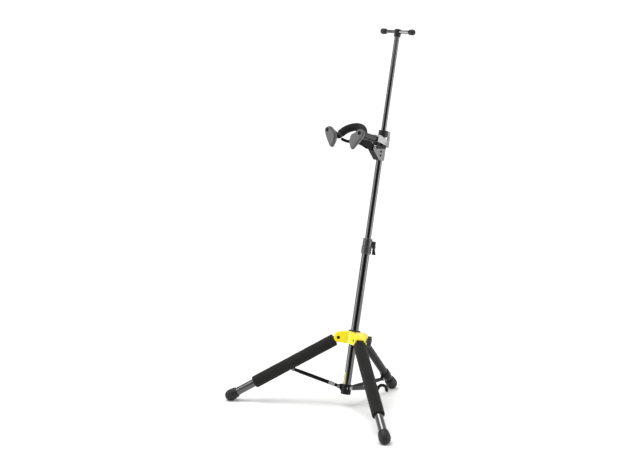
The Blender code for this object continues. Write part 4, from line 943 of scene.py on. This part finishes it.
def build_arch_foam():
    path = arch_path(-88, 88, 120)

    def skin(r, t, angle):
        distance = min(t, 1 - t) * 0.1413
        if distance < 0.005:
            r -= 0.0048 * (1 - math.sqrt(max(0, 1 - ((0.005 - distance) / 0.005) ** 2)))
        p = (math.cos(angle) * 0.02 + t * 0.5, math.sin(angle) * 0.02, t * 0.14)
        return r + rumple(p, 0.00035, 40) + rumple(p, 0.00012, 160) - 0.0003

    foam = to_object("arch_foam_look", sweep(path, ARCH_FOAM_R, MAST, 96, dome=False, shape=skin))
    look("arch_foam", foam, 50)


def build_prong(side, sign):
    tip, ahead = arch_point(math.radians(90 * sign)), arch_point(math.radians(100 * sign))
    pivot = Vector((sign * GATE_PIVOT[0], GATE_PIVOT[1], GATE_PIVOT[2]))
    face = pivot + Vector((0, GATE_THICK / 2 + GAP, 0))
    knee = Vector((sign * 0.0550, -0.1925, 0.8835))
    route = smooth_path([tip + (ahead - tip) * 0.15, ahead + Vector((sign * 0.001, -0.002, 0.001)), knee,
                         face + Vector((0, 0.0065, -0.001)), face + Vector((0, 0.0012, 0))], 10)
    radii = []
    for i in range(len(route)):
        t = i / (len(route) - 1)
        radii.append(0.0113 - 0.0031 * t)
    gate = gate_frame(side, sign)
    core = [arch_point(math.radians(a * sign)) for a in range(64, 113, 4)]
    cuts = [sweep(core, ARCH_TUBE_R + GAP, MAST, 40, dome=False),
            peg(0.0033, 0.0, 0.0300, gate @ along("Y"), 40),
            box((-0.03, -0.06, -0.03), (0.03, GATE_THICK / 2 + GAP, 0.03), gate, 0.0)]
    merge(f"prong_{side}", [sweep(route, radii, MAST, 56, dome=False)], cuts, 0.0005, 3)
    pin = rod(0.0030, -0.0052, 0.0185, 0.0006)
    look(f"gate_pin_{side}", turned(pin, gate @ along("Y"), 40), tone="dark_metal_and_painted_shade")


def gate_frame(side, sign):
    return upright_frame(f"gate_{side}_swing", sign)


def build_gate(side, sign):
    """Shield-shaped gate: a face plate, a groove behind it and a rounded body."""
    hang = gate_frame(side, sign) @ Matrix.Rotation(sign * GATE_HANG, 4, "Y")
    rim = [(-0.0085, -0.0180), (-0.0122, -0.0040), (-0.0118, 0.0030), (-0.0080, 0.0084),
           (-0.0010, 0.0108), (0.0060, 0.0102), (0.0120, 0.0055), (0.0170, -0.0035), (0.0220, -0.0090),
           (0.0275, -0.0130), (0.0297, -0.0220), (0.0288, -0.0340), (0.0250, -0.0440),
           (0.0170, -0.0540), (0.0120, -0.0595), (0.0085, -0.0585), (0.0035, -0.0470), (-0.0020, -0.0350)]
    outline = rounded([(-sign * x, z) for x, z in rim], 0.0045, steps=6)
    half = GATE_THICK / 2
    layers = [(-half, 0.0012), (-half + 0.0002, 0.0006), (-half + 0.0006, 0.0002), (-half + 0.0012, 0.0)]
    layers += [(-half + 0.0040, 0.0), (-half + 0.0043, 0.0002), (-half + 0.0045, 0.0014),
               (-half + 0.0046, 0.0026), (-half + 0.0062, 0.0026), (-half + 0.0064, 0.0012),
               (-half + 0.0066, -0.0010), (-half + 0.0074, -0.0022)]
    for k in range(9):
        a = math.radians(90 * k / 8)
        layers.append((half - 0.0055 + 0.0055 * math.sin(a), 0.0055 * (1 - math.cos(a)) - 0.0022))
    body = slab(outline, layers, hang @ FACING)
    way = hang @ along("Y")
    sink = [(0, -0.02), (0.0070, -0.02), (0.0070, -half - 0.0002), (0.0066, -half + 0.0006),
            (0.0065, -half + 0.0034), (0.0036, -half + 0.0036), (0.0033, -half + 0.0037), (0.0033, 0.02),
            (0, 0.02)]
    merge(f"gate_{side}", [body], [turned(sink, way, 64)], sharp=30)
    low, high = -half + 0.0014, -half + 0.0033
    plug = [(0.0034, low), (0.0063, low), (0.0063, high), (0.0034, high)]
    # Dark ring inside the groove: painted shade in the groove, not a real part.
    groove_shade_ring = slab(outline, [(-half + 0.0044, 0.0016), (-half + 0.0064, 0.0016)], hang @ FACING)
    extra(f"gate_groove_painted_shade_{side}", fuse("groove_shade_ring", [groove_shade_ring], [peg(0.0068, -0.02, 0.02, way, 48)]),
          f"gate_{side}", "dark_metal_and_painted_shade")
    plug = turned(rounded(plug, 0.0003, steps=3), way, 56)
    extra(f"gate_plug_{side}", plug, f"gate_{side}", "dark_metal_and_painted_shade")


# ---------------------------------------------------------------- details with no CAD node
FACING = Matrix(((1, 0, 0, 0), (0, 0, 1, 0), (0, 1, 0, 0), (0, 0, 0, 1)))


def label(place, radius, angles, heights, name, body, tone):
    """Thin plain label wrapped around part of a tube; angles in degrees."""
    sheet = 0.00015
    inner = arc((0, 0), radius, angles[0], angles[1], 24)
    outer = arc((0, 0), radius + sheet, angles[0], angles[1], 24)
    band = outer + inner[::-1]
    extra(name, plate(band, heights[0], heights[1], "Z", place, 0.0), body, tone)


def build_details():
    coil = []
    for k in range(150):
        a = 2 * math.pi * k / 24
        coil.append((-0.0068 + 0.0136 * k / 149, TRIP_PIVOT[0] + 0.0062 * math.cos(a),
                     TRIP_PIVOT[1] + 0.0062 * math.sin(a)))
    label(MAST, LOWER_R, (-126, -88), (0.026, 0.068), "mast_stripe", "stand", "stripe_gold")
    leg = hanging_frame("leg_back_fold", 1, "leg_tube_back")
    label(leg, LEG_R, (-60, 60), (-0.262, -0.240), "leg_tag", "leg_back", "tag_cream")
    for side in ("left", "right"):
        strut = hanging_frame(f"strut_{side}_swing", -1, f"strut_bar_{side}")
        for face, low, high in (("a", 0.0030, 0.0032), ("b", -0.0032, -0.0030)):
            sheet = box((-0.0056, -0.1560, low), (0.0056, -0.1330, high), strut @ FACING, 0.0)
            extra(f"strut_label_{side}_{face}", sheet, f"strut_{side}", "patch_silver")
    extra("trip_spring", sweep(coil, 0.0005, MAST, 12), "mast_middle", "spring_steel")


# ---------------------------------------------------------------- studio
def on_stage(name, data):
    obj = bpy.data.objects.new(name, data)
    bpy.context.scene.collection.objects.link(obj)
    return obj


def flat_card(name, corners, faces, tone, roughness):
    """Matt card of one grey tone."""
    mesh = bpy.data.meshes.new(name)
    mesh.from_pydata(corners, [], faces)
    mat = bpy.data.materials.new(name)
    mat.use_nodes = True
    shader = mat.node_tree.nodes["Principled BSDF"]
    shader.inputs["Base Color"].default_value = (tone, tone, tone, 1)
    shader.inputs["Roughness"].default_value = roughness
    shader.inputs["Specular IOR Level"].default_value = 0.0
    mesh.materials.append(mat)
    return on_stage(name, mesh)


def build_stage():
    reach = 200
    corners = [(-reach, -reach, 0), (reach, -reach, 0), (reach, reach, 0), (-reach, reach, 0)]
    flat_card("floor", corners, [(0, 1, 2, 3)], 0.94, 0.9)


def build_lights():
    world = bpy.data.worlds.new("studio")
    world.use_nodes = True
    world.node_tree.nodes["Background"].inputs["Color"].default_value = (1, 1, 1, 1)
    world.node_tree.nodes["Background"].inputs["Strength"].default_value = 0.72
    bpy.context.scene.world = world
    strip_distance, strip_height = 3.0, 1.3
    for name, azimuth in (("strip_left", -36), ("strip_right", 118)):
        light = bpy.data.lights.new(name, "AREA")
        light.shape = "RECTANGLE"
        light.size = 0.5
        light.size_y = 2.8
        light.energy = 26
        obj = on_stage(name, light)
        a = math.radians(azimuth)
        inward = Vector((-math.sin(a), math.cos(a), 0))
        obj.location = (*(-inward * strip_distance).xy, strip_height)
        obj.rotation_euler = inward.to_track_quat("-Z", "Y").to_euler()
        obj.visible_camera = False
    overhead = bpy.data.lights.new("overhead", "SUN")
    overhead.energy = 1.5
    overhead.angle = math.radians(32)
    sun = on_stage("overhead", overhead)
    sun.rotation_euler = Vector((0.22, 0.10, -1)).to_track_quat("-Z", "Y").to_euler()


def build_flag():
    """Dark cards that only show in reflections, one standing and one on the floor."""
    wide, tall, lift = 3.4, 3.2, 0.004
    corners = [(-wide, 0, lift), (wide, 0, lift), (wide, 0, tall), (-wide, 0, tall), (0.45, 4.7, lift),
               (-0.45, 4.7, lift)]
    flag = flat_card("flag", corners, [(0, 1, 2, 3), (0, 1, 4, 5)], 0.002, 1.0)
    flag.location = (3.4, -4.1, 0)
    flag.rotation_euler = (0, 0, CAMERA_TURN)
    flag.visible_camera = False
    flag.visible_diffuse = False
    flag.visible_shadow = False
    flag.visible_transmission = False


def build_camera():
    data = bpy.data.cameras.new("camera")
    data.lens = 80.22
    data.sensor_width = 36
    camera = bpy.data.objects.new("camera", data)
    bpy.context.scene.collection.objects.link(camera)
    camera.location = MAST.translation + Vector((2.954, -3.603, 1.4905))
    camera.rotation_euler = (math.radians(90 - 11.19), 0, CAMERA_TURN)
    bpy.context.scene.camera = camera
    bpy.context.scene.view_settings.view_transform = "Standard"


build_camera()
build_stage()
build_lights()
build_flag()
build_mast()
build_base()
build_floor_hook()
build_clutch()
build_top_clamp()
build_hanger()
build_hub()
build_knob()
for name in LEGS:
    build_leg(name)
build_bracket()
build_trip_lever()
build_hood()
build_arm()
build_arch_foam()
for name, direction in (("left", -1), ("right", 1)):
    build_prong(name, direction)
    build_gate(name, direction)
build_details()
